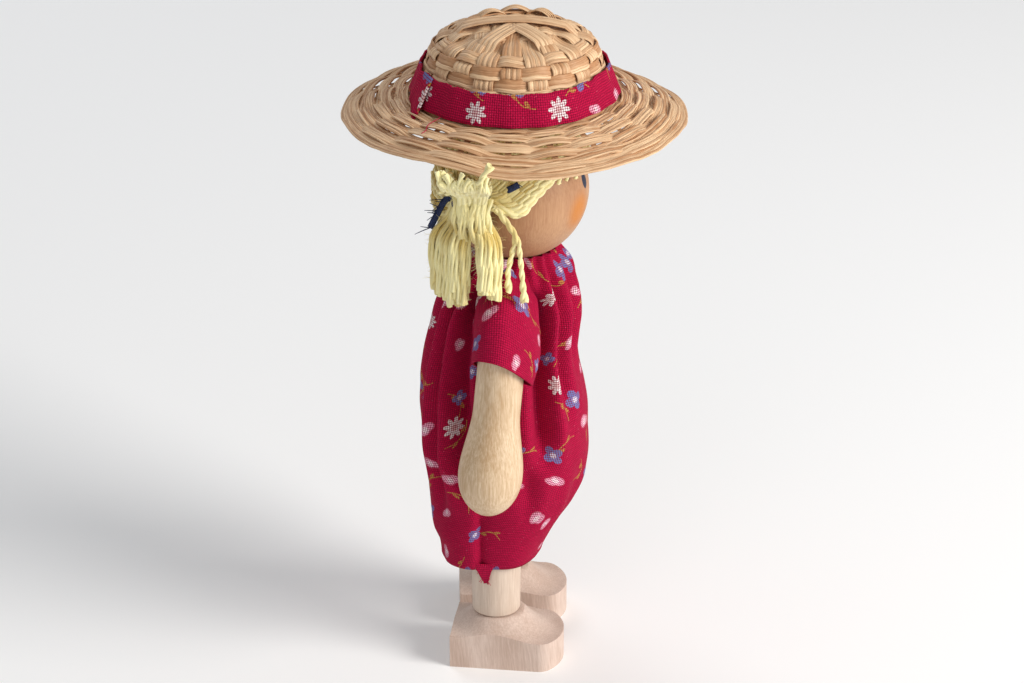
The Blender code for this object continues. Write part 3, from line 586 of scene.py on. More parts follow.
def shoe_point(column, row):
    """Point of the shoe's upper side. The toe's arc takes something off each line of points."""
    across = SHOE_WIDTH / 2 * math.sin(math.pi * (column / SHOE_COLUMNS - 0.5))
    over = max(abs(across) - SHOE_WIDTH / 2 + TOE_CORNER, 0)
    arc = TOE_RADIUS - math.sqrt(TOE_RADIUS**2 - across**2)
    arc = arc + TOE_CORNER - math.sqrt(max(TOE_CORNER**2 - over**2, 0))
    along = mix(HEEL_REACH, HEEL_REACH - SHOE_LENGTH + arc, row / SHOE_ROWS)
    return across, along, shoe_top(across, along)


print("instep height in mm:", round(shoe_top(0, 0) / MM, 1))

# %% Shoes
SANDED = {"width": 0.7 * MM, "segments": 4, "limit_method": "ANGLE", "angle_limit": math.radians(35)}


def make_shoe(word, side):
    shape = bmesh.new()
    columns = range(SHOE_COLUMNS + 1)
    top = [[shape.verts.new(shoe_point(column, row)) for column in columns] for row in range(SHOE_ROWS + 1)]
    for upper, lower in zip(top, top[1:]):
        for step in range(SHOE_COLUMNS):
            shape.faces.new((upper[step], upper[step + 1], lower[step + 1], lower[step]))
    rim = top[0] + [line[-1] for line in top[1:-1]] + top[-1][::-1] + [line[0] for line in top[-2:0:-1]]
    sole = [shape.verts.new((corner.co.x, corner.co.y, 0)) for corner in rim]
    for step, corner in enumerate(rim):
        after = (step + 1) % len(rim)
        shape.faces.new((corner, rim[after], sole[after], sole[step]))
    shape.faces.new(sole)
    bmesh.ops.recalc_face_normals(shape, faces=shape.faces)
    turn = Matrix.Rotation(side * TOE_OUT, 3, "Z")
    bmesh.ops.rotate(shape, verts=shape.verts, cent=(0, 0, 0), matrix=turn)
    bmesh.ops.translate(shape, verts=shape.verts, vec=(side * LEG_X, LEG_Y, 0))
    shoe = settle(shape, "shoe_carved_" + word, shoe_wood)
    edge = shoe.modifiers.new("sanded_edges", "BEVEL")
    for name, value in SANDED.items():
        setattr(edge, name, value)
    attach(shoe, "body")
    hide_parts("shoe_" + word)


for word, side in SIDES.items():
    make_shoe(word, side)
print("shoes carved, length in mm:", round(SHOE_LENGTH / MM, 1))

# %% [markdown]
# ## Inside the doll
#
# A torso and a neck peg are hidden in the dress, an elastic cord holds the arms, and a thread
# gathers the neck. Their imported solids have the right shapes, so they stay, and only get a finish.
# Cord, thread and ribbon share one: fine fibres with a relief, in two tones.

# %% Inner pieces
FIBRES_PER_M = (6000, 6000, 6000)
FIBRE_RELIEF = 0.1 * MM


def make_plain_cord(name, pale, deep):
    """Finish of a plaited cord, a thread or a ribbon."""
    finish = Finish(name, {"Roughness": 0.85})
    fibre = finish.noise(finish.place(FIBRES_PER_M))
    finish.paint(finish.mix(finish.band(fibre, 0.35, 0.65), pale, deep))
    finish.bump(fibre, 0.5, FIBRE_RELIEF)
    return finish.look


elastic = make_plain_cord("elastic_cord", "DDD8CC", "B9B2A2")
loose_thread = make_plain_cord("red_thread", "BE2448", "8E0F30")
INNER = {"torso": inner_wood, "neck_peg": inner_wood, "arm_cord": elastic, "neck_thread": loose_thread}
for name, look in INNER.items():
    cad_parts[name].data.materials.clear()
    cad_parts[name].data.materials.append(look)
print("inner pieces finished:", list(INNER))

# %% [markdown]
# ## Printed cotton
#
# The dress, its sleeves and the hat's band are one crimson cotton with a scattered small flower
# print. An image of cloth would have to be painted first. This print is drawn by the material from
# the cloth's own UV map, which is in millimetres of cloth: one set of cells scatters the flowers,
# another scatters leaf sprigs, and a plain weave of warp and weft breaks up both, because ink sits
# on the raised threads.

# %% Marks of the print
THREAD = 0.44
CELL_JITTER = 0.72
FULL_TURN = 6.283
MARK_EDGE = 0.1


def scatter(finish, cloth, cell, shift):
    """Offset from the nearest scattered centre, turned by chance, and two numbers by chance."""
    moved = finish.vector("ADD", cloth, (shift, shift * 0.7, 0))
    settings = {"Vector": moved, "Scale": 1 / cell, "Randomness": CELL_JITTER}
    cells = finish.node("ShaderNodeTexVoronoi", settings, voronoi_dimensions="2D")
    away = finish.vector("SUBTRACT", moved, cells.outputs["Position"])
    chance = finish.node("ShaderNodeSeparateColor", {"Color": cells.outputs["Color"]}).outputs
    settings = {"Vector": away, "Angle": finish.times(chance["Red"], FULL_TURN)}
    spun = finish.node("ShaderNodeVectorRotate", settings, rotation_type="Z_AXIS")
    return spun.outputs["Vector"], chance["Green"], chance["Blue"]


def printed_oval(finish, where, centre, stretch, soft=0.12):
    return finish.oval(where, (*centre, 0), (*stretch, 0), 1 - soft, 1 + soft)


def petals(finish, where, count, size, depth):
    """Flower outline with a number of round petals."""
    parts = finish.split(where)
    angle = finish.math("ARCTAN2", parts["Y"], parts["X"])
    wave = finish.math("ABSOLUTE", finish.math("COSINE", finish.times(angle, count / 2)))
    edge = finish.math("MULTIPLY_ADD", wave, size * depth, size * (1 - depth))
    gap = finish.minus(edge, finish.vector("LENGTH", where))
    return finish.band(gap, -MARK_EDGE, MARK_EDGE)


print("print marks ready, thread spacing in mm:", THREAD)

# %% [markdown]
# A sprig is a bent stem with two leaves. A flower is one of three kinds: four blue petals, a pink
# bud or a white daisy, each with a heart of its own tint. Which one a cell gets, its size and its
# turn are drawn by the cell.

# %% Sprigs and flowers
SPRIG_CELL, SPRIG_SHIFT = 9.9, 3.7
STEM_BEND, STEM_HALF, STEM_REACH = 0.16, 0.13, 3.1
BARE_SPRIGS = 0.2
FLOWER_CELL, FLOWER_SHIFT = 9.2, 11.3
BLUE_SHARE, WHITE_FROM = 0.4, 0.78


def sprigs(finish, cloth):
    """1 on stems and leaves."""
    sprig, chance, _ = scatter(finish, cloth, SPRIG_CELL, SPRIG_SHIFT)
    parts = finish.split(sprig)
    rise = finish.times(finish.times(parts["X"], parts["X"]), STEM_BEND)
    off_stem = finish.math("ABSOLUTE", finish.minus(parts["Y"], rise))
    stem = finish.math("LESS_THAN", off_stem, STEM_HALF)
    stem = finish.times(stem, finish.math("LESS_THAN", finish.math("ABSOLUTE", parts["X"]), STEM_REACH))
    upper = printed_oval(finish, sprig, (1.3, 0.9), (1.3, 2.9))
    lower = printed_oval(finish, sprig, (-1.5, -0.1), (1.4, 3.2))
    leaf = finish.math("MAXIMUM", finish.math("MAXIMUM", upper, lower), stem)
    return finish.times(leaf, finish.math("GREATER_THAN", chance, BARE_SPRIGS))


def flowers(finish, cloth):
    """For each kind of flower: where it is, and its colour."""
    flower, kind, chance = scatter(finish, cloth, FLOWER_CELL, FLOWER_SHIFT)
    grown = finish.math("MULTIPLY_ADD", chance, 0.4, 0.8)
    sized = finish.vector("DIVIDE", flower, finish.join(X=grown, Y=grown, Z=1.0))
    upper = printed_oval(finish, sized, (0, 0.35), (0.95, 0.85), 0.2)
    lower = printed_oval(finish, sized, (0.45, -0.7), (1.25, 1.05), 0.2)
    is_blue = finish.math("LESS_THAN", kind, BLUE_SHARE)
    is_white = finish.math("GREATER_THAN", kind, WHITE_FROM)
    is_bud = finish.minus(finish.minus(1.0, is_blue), is_white)
    heart = printed_oval(finish, sized, (0, 0), (1.7, 1.7), 0.3)
    kinds = (
        (petals(finish, sized, 4, 2.0, 0.45), is_blue, "6C7AB2", "D3D2E6"),
        (finish.math("MAXIMUM", upper, lower), is_bud, "EBA3BC", "F6DCE4"),
        (petals(finish, sized, 8, 1.95, 0.55), is_white, "EFE3E4", "D8B4B4"),
    )
    return [
        (finish.times(shape, chosen), finish.mix(heart, petal, centre))
        for shape, chosen, petal, centre in kinds
    ]


print("sprigs every", SPRIG_CELL, "mm and flowers every", FLOWER_CELL, "mm")

# %% [markdown]
# The ground is dyed unevenly along the weft. A painted shade darkens it between the threads, and a few
# painted highlights sit where a thread stands up. Sprigs and flowers are printed over it.

# %% Cotton finish
COTTON_LOOK = {"Roughness": 0.85, "Sheen Weight": 0.01, "Sheen Roughness": 0.4, "Specular IOR Level": 0.1}
WEFT_STREAKS = (0.5, 6.0, 0)
COTTON_RELIEF = 0.12 * MM


def cotton_ground(finish, cloth, crowns):
    dyed = finish.noise(finish.vector("MULTIPLY", cloth, WEFT_STREAKS), 2.0)
    base = finish.mix(finish.band(dyed, 0.3, 0.7), "A60B39", "C31245")
    # Painted shade: darker between the threads, where the weave is shaded.
    base = finish.mix(finish.band(crowns, 0.0, 0.5), "78082C", base)
    # Painted highlights: pale glints on a few raised threads.
    raised = finish.band(finish.noise(cloth, 1.0, scale=1.6), 0.66, 0.74)
    painted_glint = finish.times(raised, finish.band(crowns, 0.5, 0.9))
    return finish.mix(finish.times(painted_glint, 0.5), base, "DB6F8A")


def make_cotton():
    finish = Finish("printed_cotton", COTTON_LOOK)
    cloth = finish.node("ShaderNodeUVMap", uv_map="cloth").outputs["UV"]
    threads = finish.split(finish.vector("MULTIPLY", cloth, (math.pi / THREAD, math.pi / THREAD, 0)))
    over = finish.times(finish.math("SINE", threads["X"]), finish.math("SINE", threads["Y"]))
    crowns = finish.math("ABSOLUTE", over)
    wobble = finish.noise(cloth, 2.0, scale=0.7)
    ink = finish.band(finish.plus(crowns, finish.times(wobble, 0.45)), 0.32, 0.62)
    colour = cotton_ground(finish, cloth, crowns)
    colour = finish.mix(finish.times(sprigs(finish, cloth), ink), colour, "BC8A48")
    for shape, tint in flowers(finish, cloth):
        colour = finish.mix(finish.times(shape, ink), colour, tint)
    finish.paint(colour)
    finish.bump(finish.plus(crowns, finish.times(over, 0.35)), 0.8, COTTON_RELIEF)
    return finish.look


cotton = make_cotton()
print("cotton printed:", cotton.name)

# %% [markdown]
# ## The dress
#
# The dress is a small sack of cotton, gathered on a thread at the neck, full at the front and back
# and drawn in towards the hem. A cloth simulation would find folds of its own, but not the ones of
# this dress. So a level ring at each height follows the front and back lines of the side view, and
# folds press into that ring: flat where the arms swing, soft and upright elsewhere.


# %% Smooth lines
def hermite(first, start, last, end, share):
    """Place a share of the way from first to last, with a slope at both ends."""
    cube, square = share**3, share**2
    curve = (2 * cube - 3 * square + 1) * first + (cube - 2 * square + share) * start
    return curve + (3 * square - 2 * cube) * last + (cube - square) * end


def smooth_line(points):
    """Function through (place, value) points without overshoot."""
    places = [place for place, _ in points]
    values = [value for _, value in points]
    slopes = [(b - a) / (q - p) for p, q, a, b in zip(places, places[1:], values, values[1:])]
    tangents = [slopes[0]]
    for before, after in zip(slopes, slopes[1:]):
        tangents.append(0 if before * after <= 0 else 2 * before * after / (before + after))
    tangents.append(slopes[-1])

    def line(place):
        place = min(max(place, places[0]), places[-1])
        step = max(index for index in range(len(places) - 1) if places[index] <= place or index == 0)
        width = places[step + 1] - places[step]
        start, end = width * tangents[step], width * tangents[step + 1]
        return hermite(values[step], start, values[step + 1], end, (place - places[step]) / width)

    return line


print("line kit ready")

# %% Lines of the dress
# Each line goes from the hem to the collar: height, and the place of the cloth there.
BODY_Y = 1.8
HEM_Z = 22.0
COLLAR_Z = 88.0
front_line = smooth_line([
    (HEM_Z, -6.3), (24.0, -7.0), (26.5, -8.3), (30.0, -10.3), (34.0, -12.6), (38.0, -14.2),
    (42.0, -15.0), (46.5, -15.2), (53.0, -14.9), (60.0, -13.7), (68.0, -12.6), (76.0, -13.0),
    (81.5, -12.0), (84.0, -11.2), (86.4, -9.8), (COLLAR_Z, -9.0),
])
back_line = smooth_line([
    (HEM_Z, 15.0), (24.0, 15.1), (26.0, 15.4), (28.5, 16.5), (31.0, 17.0), (34.0, 17.3),
    (41.5, 18.0), (48.0, 18.6), (56.5, 18.4), (61.5, 18.0), (66.0, 17.2), (70.5, 16.2),
    (74.5, 15.2), (79.0, 13.6), (83.0, 11.8), (85.5, 10.2), (COLLAR_Z, 8.9),
])
side_line = smooth_line([
    (HEM_Z, 15.5), (26.0, 15.8), (46.5, 15.8), (57.0, 15.0), (67.5, 13.55), (75.5, 13.5),
    (80.8, 13.1), (84.6, 11.6), (86.6, 9.9), (COLLAR_Z, 8.9),
])
roundness_line = smooth_line([(HEM_Z, 2.5), (75.5, 2.6), (81.0, 2.4), (84.6, 2.1), (COLLAR_Z, 2.0)])
centre_line = smooth_line([(HEM_Z, BODY_Y), (76.0, BODY_Y), (84.6, 0.9), (COLLAR_Z, 0.0)])
print("dress from", HEM_Z, "to", COLLAR_Z, "mm")

# %% [markdown]
# A crease is a groove with a low swell on both sides, because cloth that is pressed in somewhere
# comes out beside it. It wanders a little and fades at both ends. Twenty-three small pleats gather
# the neck, and a pleat behind each side's middle marks the seam. No crease may reach the wooden
# torso inside, so the last rule pushes such points out again.

# %% Creases
# Degrees from the left side over the back, depth, half width, lowest and highest place.
CREASES = [
    (-155, 3.4, 7.0, 42, 86), (155, 4.2, 6.5, 36, 86), (-131, 1.7, 7.0, 52, 90),
    (-108, 1.3, 6.5, 62, 90), (-84, 1.4, 7.0, 58, 90), (-62, 1.3, 7.0, 62, 90),
    (-27, 2.4, 7.5, 44, 86), (26, 2.7, 7.5, 34, 86), (50, 1.7, 7.5, 32, 88),
    (76, 1.5, 7.0, 44, 90), (104, 1.5, 7.0, 36, 90), (130, 2.0, 7.0, 30, 88),
    (-118, 0.8, 8.0, 24, 46), (-72, 0.8, 8.0, 24, 48), (90, 0.9, 8.0, 22, 42),
    (-166, 1.0, 6.0, 30, 50), (-14, 1.0, 6.0, 30, 50),
]
CREASE_WANDER = 5
CREASE_SWELL = 0.35
CREASE_START, CREASE_END = 12, 9
GATHERS = 23
GATHER_DEPTH = 0.42
GATHER_Z, GATHER_RISE = 74, 11
SEAM_Y = 6.6
SEAM_DEPTH = 1.6
SEAM_FRONT, SEAM_BACK = 2.4, 0.5
SEAM_TOP, SEAM_RUN = 50, 16
PRESSED_FLAT = 0.25
UNEVEN = 0.16


def wander(*place):
    return noise.noise(Vector(place))


def wander_round(angle, scale, level):
    """Noise that closes on itself after a full turn."""
    return wander(math.cos(angle) * scale, math.sin(angle) * scale, level)


def creased(angle, height, before):
    """How far the cloth is pressed in, at a distance in front of the seam's pleat."""
    fade = math.sin(angle) ** 2
    inward = PRESSED_FLAT * fade
    degrees = math.degrees(math.atan2(math.sin(angle), math.cos(angle)))
    for place, depth, half, low, high in CREASES:
        off = (degrees - place - CREASE_WANDER * wander(place, height * 0.05, 0) + 180) % 360 - 180
        if abs(off) < 4 * half:
            share = ease((height - low) / CREASE_START) * ease((high - height) / CREASE_END)
            swell = CREASE_SWELL * math.exp(-(((abs(off) - 2 * half) / half) ** 2))
            inward += depth * share * (math.exp(-((off / half) ** 2)) - swell)
    gather = ease((height - GATHER_Z) / GATHER_RISE)
    pleats = 1 - math.cos(GATHERS * angle + 2 * wander(angle, 5, height * 0.1))
    inward += gather * GATHER_DEPTH * pleats
    if abs(math.cos(angle)) > 0.5:
        pleat = math.exp(-before / SEAM_FRONT) if before > 0 else math.exp(before / SEAM_BACK)
        inward += pleat * SEAM_DEPTH * ease((SEAM_TOP - height) / SEAM_RUN)
    return inward + UNEVEN * fade * wander_round(angle, 6, height * 0.22)


print("creases led:", len(CREASES))

# %% Points of the dress
TORSO_OVAL = 0.84
TORSO_CHEST = 11.0
TORSO_ROOM = 0.6
TORSO_FADE = 3
torso_low, torso_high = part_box("torso")
TORSO_BASE, TORSO_HIP = torso_low[2] / MM, torso_high[0] / MM
HEM_FULL, HEM_FULL_TOP, HEM_FULL_RUN = 0.9, 34, 8
LEAST_SHARE = 0.2


def signed_power(value, exponent):
    return math.copysign(abs(value) ** exponent, value)


def off_torso(across, deep, height):
    """How far a point is pushed out so that the creases stay off the wooden torso."""
    chest = SHOULDER_Z / MM
    half = mix(TORSO_HIP, TORSO_CHEST, ease((height - TORSO_BASE) / (chest - TORSO_BASE)))
    inside = math.hypot(across / half, deep / (TORSO_OVAL * half))
    room = max(1 + TORSO_ROOM / half, inside)
    above = ease((height - TORSO_BASE + TORSO_FADE + 1) / TORSO_FADE)
    return mix(1, room / inside, above * ease((chest + TORSO_FADE - height) / TORSO_FADE))


def dress_point(angle, height):
    """Point of the dress in millimetres."""
    centre = centre_line(height)
    behind = math.sin(angle) > 0
    full = HEM_FULL * ease((HEM_FULL_TOP - height) / HEM_FULL_RUN) if behind else 0
    bend = 2 / (roundness_line(height) + full)
    across = side_line(height) * signed_power(math.cos(angle), bend)
    deep = back_line(height) - centre if behind else centre - front_line(height)
    deep *= signed_power(math.sin(angle), bend)
    inward = creased(angle, height, SEAM_Y - centre - deep)
    share = max(1 - inward / math.hypot(across, deep), LEAST_SHARE)
    share *= off_torso(across * share, deep * share, height)
    return across * share, centre + deep * share, height


print("torso from", round(TORSO_BASE, 1), "mm, half width", round(TORSO_HIP, 1), "mm")

# %% [markdown]
# The rings are joined into one sheet that closes on itself. Its cloth map could be unwrapped by
# Blender, but a map that counts millimetres round the sheet and up it keeps the print at its true
# size. A thin Solidify gives the cotton its two faces.

# %% Cloth kit
COTTON_THICKNESS = 0.4 * MM


def cloth_sheet(name, rows, widths, lengths, closed):
    """Sheet over rows of points with a cloth map in millimetres."""
    count = len(rows[0])
    columns = count if closed else count - 1
    mesh = bpy.data.meshes.new(name)
    faces, corners = [], []
    for row in range(len(rows) - 1):
        low, high = row * count, (row + 1) * count
        for step in range(columns):
            after = (step + 1) % count
            faces.append((low + step, low + after, high + after, high + step))
            for line, place in ((row, step), (row, step + 1), (row + 1, step + 1), (row + 1, step)):
                corners.append((widths[line][place], lengths[line]))
    mesh.from_pydata([Vector(point) * MM for row in rows for point in row], [], faces)
    cloth = mesh.uv_layers.new(name="cloth")
    cloth.data.foreach_set("uv", [value for corner in corners for value in corner])
    return link(name, mesh, cotton)


def even_widths(row, total):
    """Cloth place of each point round a closed row, ending with the full width."""
    steps = [math.dist(first, last) for first, last in zip(row, row[1:] + row[:1])]
    scale = total / sum(steps)
    places = [0]
    for step in steps:
        places.append(places[-1] + step * scale)
    return places


def thicken(piece, name, thickness, offset):
    """Second face for a sheet: inside it (-1) or half on each side (0)."""
    wall = piece.modifiers.new(name, "SOLIDIFY")
    wall.thickness = thickness
    wall.offset = offset


print("cloth kit ready, cotton thickness in mm:", COTTON_THICKNESS / MM)

# %% Rows of the dress
AROUND = 288
DRESS_LEVELS = 104
DRESS_CLOTH_WIDTH = 118.0
# Rows of the turned-in hem: height above its edge, and how far it is tucked in.
HEM_TURN = [(2.6, 1.1), (1.2, 1.0), (0.4, 0.7)]
HEM_EDGE_TUCK = 0.25
HEM_LOW, HEM_LOW_RUN = 34, 12
HEM_WANDER, HEM_SIDES = 0.5, 0.5
HEM_MIDDLE, HEM_FRONT_SLOPE, HEM_BACK_SLOPE = 4, 0.085, 0.05
LEVELS_CLOSER = 0.06
# Rows of the collar that goes in to the thread: height and radius.
COLLAR_ROWS = [(87.9, 8.3), (87.0, 7.4), (85.6, 6.4), (84.4, 4.9), (83.6, 3.7)]
COLLAR_FRILL = 0.05
ANGLES = around(AROUND, 0.5)


def hem_wave(angle, deep, height):
    """Rise of the cloth near the hem, higher at the sides and the front."""
    low = ease((HEM_LOW - height) / HEM_LOW_RUN)
    stray = HEM_WANDER * wander_round(angle, 1.6, 7.7)
    slope = HEM_FRONT_SLOPE if deep < HEM_MIDDLE else HEM_BACK_SLOPE
    return low * (stray + HEM_SIDES * math.cos(angle) ** 2 + slope * (HEM_MIDDLE - deep))


def dress_row(height, tuck):
    row = []
    for angle in ANGLES:
        x, y, z = dress_point(angle, max(height, HEM_Z))
        keep = 1 - tuck / math.hypot(x, y - BODY_Y)
        row.append((x * keep, BODY_Y + (y - BODY_Y) * keep, z + hem_wave(angle, y, z)))
    return row


def collar_row(height, radius):
    row = []
    for angle in ANGLES:
        frill = 1 + COLLAR_FRILL * math.cos(GATHERS * angle) * ease((height - 84) / 3)
        row.append(polar(radius * frill, angle, height))
    return row


print("points round the dress:", AROUND)


# %% Dress sheet
def make_dress():
    levels = [(HEM_Z + rise, tuck) for rise, tuck in HEM_TURN] + [(HEM_Z, HEM_EDGE_TUCK)]
    for share in shares(DRESS_LEVELS)[1:]:
        share += LEVELS_CLOSER * math.sin(math.pi * share) ** 2
        levels.append((HEM_Z + (COLLAR_Z - HEM_Z) * share, 0))
    rows = [dress_row(height, tuck) for height, tuck in levels]
    run, lengths = 0, [0]
    for before, row in zip(rows, rows[1:]):
        run += sum(math.dist(a, b) for a, b in zip(row[::16], before[::16])) / len(row[::16])
        lengths.append(run)
    for height, radius in COLLAR_ROWS:
        row = collar_row(height, radius)
        run += math.dist(row[0], rows[-1][0])
        rows.append(row)
        lengths.append(run)
    widths = [even_widths(row, DRESS_CLOTH_WIDTH) for row in rows]
    dress = cloth_sheet("dress_cloth", rows, widths, lengths, True)
    thicken(dress, "cotton_thickness", COTTON_THICKNESS, -1)
    return dress, run


dress, dress_run = make_dress()
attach(dress, "body")
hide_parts("dress_body")
print("dress sheet in mm:", DRESS_CLOTH_WIDTH, "by", round(dress_run, 1))

# %% [markdown]
# ## Sleeves
#
# A sleeve is a short cap that is sewn on along the shoulder, from the neck to the armpit, and stands
# a little off the arm at its hem. A cut-off cone would stand away from the shoulder. Four closed
# rings of four points each follow it instead: the seam, two puffed ones and the hem. The seam lies
# on the dress, the hem round the arm, and the cloth twists between them.

# %% Rings of the sleeve
# Top, front, bottom and back of each ring, for the right side, in millimetres.
SLEEVE_RINGS = [
    ((-9.6, 0.8, 85.9), (-12.5, -4.8, 76.5), (-13.6, 1.6, 66.8), (-12.4, 7.0, 77.0)),
    ((-15.2, 1.0, 84.6), (-15.2, -5.3, 75.0), (-13.9, 1.6, 66.2), (-15.0, 6.9, 76.5)),
    ((-22.0, 1.6, 81.6), (-18.2, -5.3, 71.4), (-14.4, 1.6, 66.0), (-18.4, 6.8, 73.6)),
    ((-26.3, 2.0, 73.4), (-20.4, -4.0, 66.5), (-15.2, 1.7, 66.2), (-20.4, 7.0, 70.8)),
]


def ring_point(ring, turn):
    """Point on the smooth closed ring through four points."""
    top, front, bottom, behind = (Vector(point) for point in ring)
    centre = (top + front + bottom + behind) / 4
    pull = (top + bottom - front - behind) / 4
    upright = (top - bottom) / 2 * math.cos(turn)
    return centre + upright + (front - behind) / 2 * math.sin(turn) + pull * math.cos(2 * turn)


def flow(stops, share):
    """Point a share of the way along a smooth curve through stops."""
    most = len(stops) - 1
    step = min(int(share * most), most - 1)
    part = share * most - step
    near = (stops[min(max(step + shift, 0), most)] for shift in (-1, 0, 1, 2))
    before, first, last, after = map(Vector, near)
    return hermite(first, (last - before) / 2, last, (after - first) / 2, part)


def on_sleeve(turn, share):
    return flow([ring_point(ring, turn) for ring in SLEEVE_RINGS], share)


print("sleeve rings:", len(SLEEVE_RINGS))

# %% Rows of a sleeve
SLEEVE_AROUND, SLEEVE_LEVELS = 120, 48
SEAM_GATHERS, SEAM_RIPPLE = 11, 0.3
PUFF_RIPPLE = 0.45
CUFF_WAVES, CUFF_RIPPLE = 5, 0.18
UNDERARM_SHARE = 0.25


def sleeve_ripple(turn, share, side):
    """How far the cloth stands off its smooth form: gathers, a crumpled puff and a wavy cuff."""
    gathers = math.cos(SEAM_GATHERS * turn + 2 * wander(share * 2, side, 1))
    crumple = wander_round(turn, 2, share * 3 + side)
    ripple = SEAM_RIPPLE * gathers * (1 - share) ** 1.5
    ripple += PUFF_RIPPLE * crumple * math.sin(math.pi * min(share * 1.2, 1))
    return ripple + CUFF_RIPPLE * math.cos(CUFF_WAVES * turn + side) * share**3


def sleeve_row(share, side):
    middle = sum((on_sleeve(turn, share) for turn in around(4)), Vector()) / 4
    row = []
    for half_turned in around(SLEEVE_AROUND):
        turn = half_turned + math.pi
        point = on_sleeve(turn, share)
        away = (point - middle).normalized()
        upper = UNDERARM_SHARE + (1 - UNDERARM_SHARE) * (0.5 + 0.5 * math.cos(turn))
        point = point + away * sleeve_ripple(turn, share, side) * upper
        row.append((-side * point.x, point.y, point.z))
    return row


print("points round a sleeve:", SLEEVE_AROUND)

# %% Sleeve sheets
SLEEVE_WIDTH = 44.0
SLEEVE_CLOTH, SLEEVE_CLOTH_ASIDE, SLEEVE_CLOTH_UP = 31, 9, 15


def make_sleeve(word, side):
    rows = [sleeve_row(share, side) for share in shares(SLEEVE_LEVELS)]
    top = SLEEVE_AROUND // 2
    run, lengths = 0, [SLEEVE_CLOTH_UP * side]
    for before, row in zip(rows, rows[1:]):
        run += math.dist(row[top], before[top])
        lengths.append(run + SLEEVE_CLOTH_UP * side)
    start = SLEEVE_CLOTH + SLEEVE_CLOTH_ASIDE * side
    widths = [[value + start for value in even_widths(row, SLEEVE_WIDTH)] for row in rows]
    sleeve = cloth_sheet("sleeve_cloth_" + word, rows, widths, lengths, True)
    if side > 0:
        sleeve.data.flip_normals()
    thicken(sleeve, "cotton_thickness", COTTON_THICKNESS, -1)
    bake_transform(sleeve)
    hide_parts("sleeve_" + word)
    return run


sleeve_runs = [make_sleeve(word, side) for word, side in SIDES.items()]
print("sleeve outer length in mm:", [round(run, 1) for run in sleeve_runs])

# %% [markdown]
# ## Strands that follow a path
#
# Straw splints, yarn, frayed threads and ribbon are all one shape swept along many paths. Hundreds
# of curve objects would be slow to handle, and Geometry Nodes do the same in one go. The script
# lays out the paths as bare edges that carry three values: which way the strand faces, how thick it
# is and its tone. A tree turns the edges into curves and the curves into strands.


# %% Geometry Nodes kit
class Grower(Steps):
    """A Geometry Nodes tree with named inputs for its sizes, from paths to finished strands."""

    def __init__(self, name, sizes):
        self.tree = bpy.data.node_groups.new(name, "GeometryNodeTree")
        sockets = self.tree.interface
        sockets.new_socket("Geometry", in_out="INPUT", socket_type="NodeSocketGeometry")
        for size in sizes:
            sockets.new_socket(size, in_out="INPUT", socket_type="NodeSocketFloat")
        sockets.new_socket("Material", in_out="INPUT", socket_type="NodeSocketMaterial")
        sockets.new_socket("Geometry", in_out="OUTPUT", socket_type="NodeSocketGeometry")
        self.start = self.node("NodeGroupInput").outputs
        paths = {"Mesh": self.start["Geometry"]}
        self.curve = self.node("GeometryNodeMeshToCurve", paths).outputs["Curve"]

    def carried(self, name, kind="FLOAT"):
        step = self.node("GeometryNodeInputNamedAttribute", {"Name": name}, data_type=kind)
        return step.outputs["Attribute"]

    def circle(self, resolution, radius):
        settings = {"Resolution": resolution, "Radius": radius}
        return self.node("GeometryNodeCurvePrimitiveCircle", settings).outputs["Curve"]

    def sweep(self, curve, profile):
        settings = {"Curve": curve, "Profile Curve": profile, "Scale": self.carried("girth")}
        return self.node("GeometryNodeCurveToMesh", {**settings, "Fill Caps": True}).outputs["Mesh"]

    def end(self, mesh):
        whole = self.node("GeometryNodeRealizeInstances", {"Geometry": mesh}).outputs["Geometry"]
        settings = {"Geometry": whole, "Material": self.start["Material"]}
        finished = self.node("GeometryNodeSetMaterial", settings).outputs["Geometry"]
        self.node("NodeGroupOutput", {"Geometry": finished})


print("Geometry Nodes kit ready")


# %% Growing strands
def grow(name, paths, grower, sizes, finish):
    """Plain mesh piece from paths: points in millimetres, facing, girth, tone, closed or not."""
    points, edges, facing, girth, tone = [], [], [], [], []
    for path in paths:
        first, count = len(points), len(path["points"])
        points += [Vector(point) * MM for point in path["points"]]
        edges += [(first + step, first + step + 1) for step in range(count - 1)]
        if path.get("closed"):
            edges.append((first + count - 1, first))
        facing += path.get("facing") or [Vector((0, 0, 1))] * count
        for values, value in ((girth, path.get("girth", 1.0)), (tone, path.get("tone", 0.5))):
            values += value if isinstance(value, list) else [value] * count
    mesh = bpy.data.meshes.new(name + "_paths")
    mesh.from_pydata(points, edges, [])
    ways = [part for way in facing for part in way]
    mesh.attributes.new("facing", "FLOAT_VECTOR", "POINT").data.foreach_set("vector", ways)
    mesh.attributes.new("girth", "FLOAT", "POINT").data.foreach_set("value", girth)
    mesh.attributes.new("tone", "FLOAT", "POINT").data.foreach_set("value", tone)
    guide = add(name + "_paths", mesh)
    growth = guide.modifiers.new("strands", "NODES")
    growth.node_group = grower.tree
    for item in grower.tree.interface.items_tree:
        if item.in_out == "INPUT" and item.name in sizes:
            growth[item.identifier] = sizes[item.name]
        elif item.name == "Material":
            growth[item.identifier] = finish
    shown = guide.evaluated_get(bpy.context.evaluated_depsgraph_get())
    made = bpy.data.meshes.new_from_object(shown)
    made.name = name
    bpy.data.objects.remove(guide)
    print(name, "strands:", len(paths), "faces:", len(made.polygons))
    return link(name, made)


print("grow makes one piece from many paths")

# %% [markdown]
# A splint is a flat oval with eight sides. Each side keeps a number, its lane across the splint,
# from which the straw finish draws fibres along the strand.

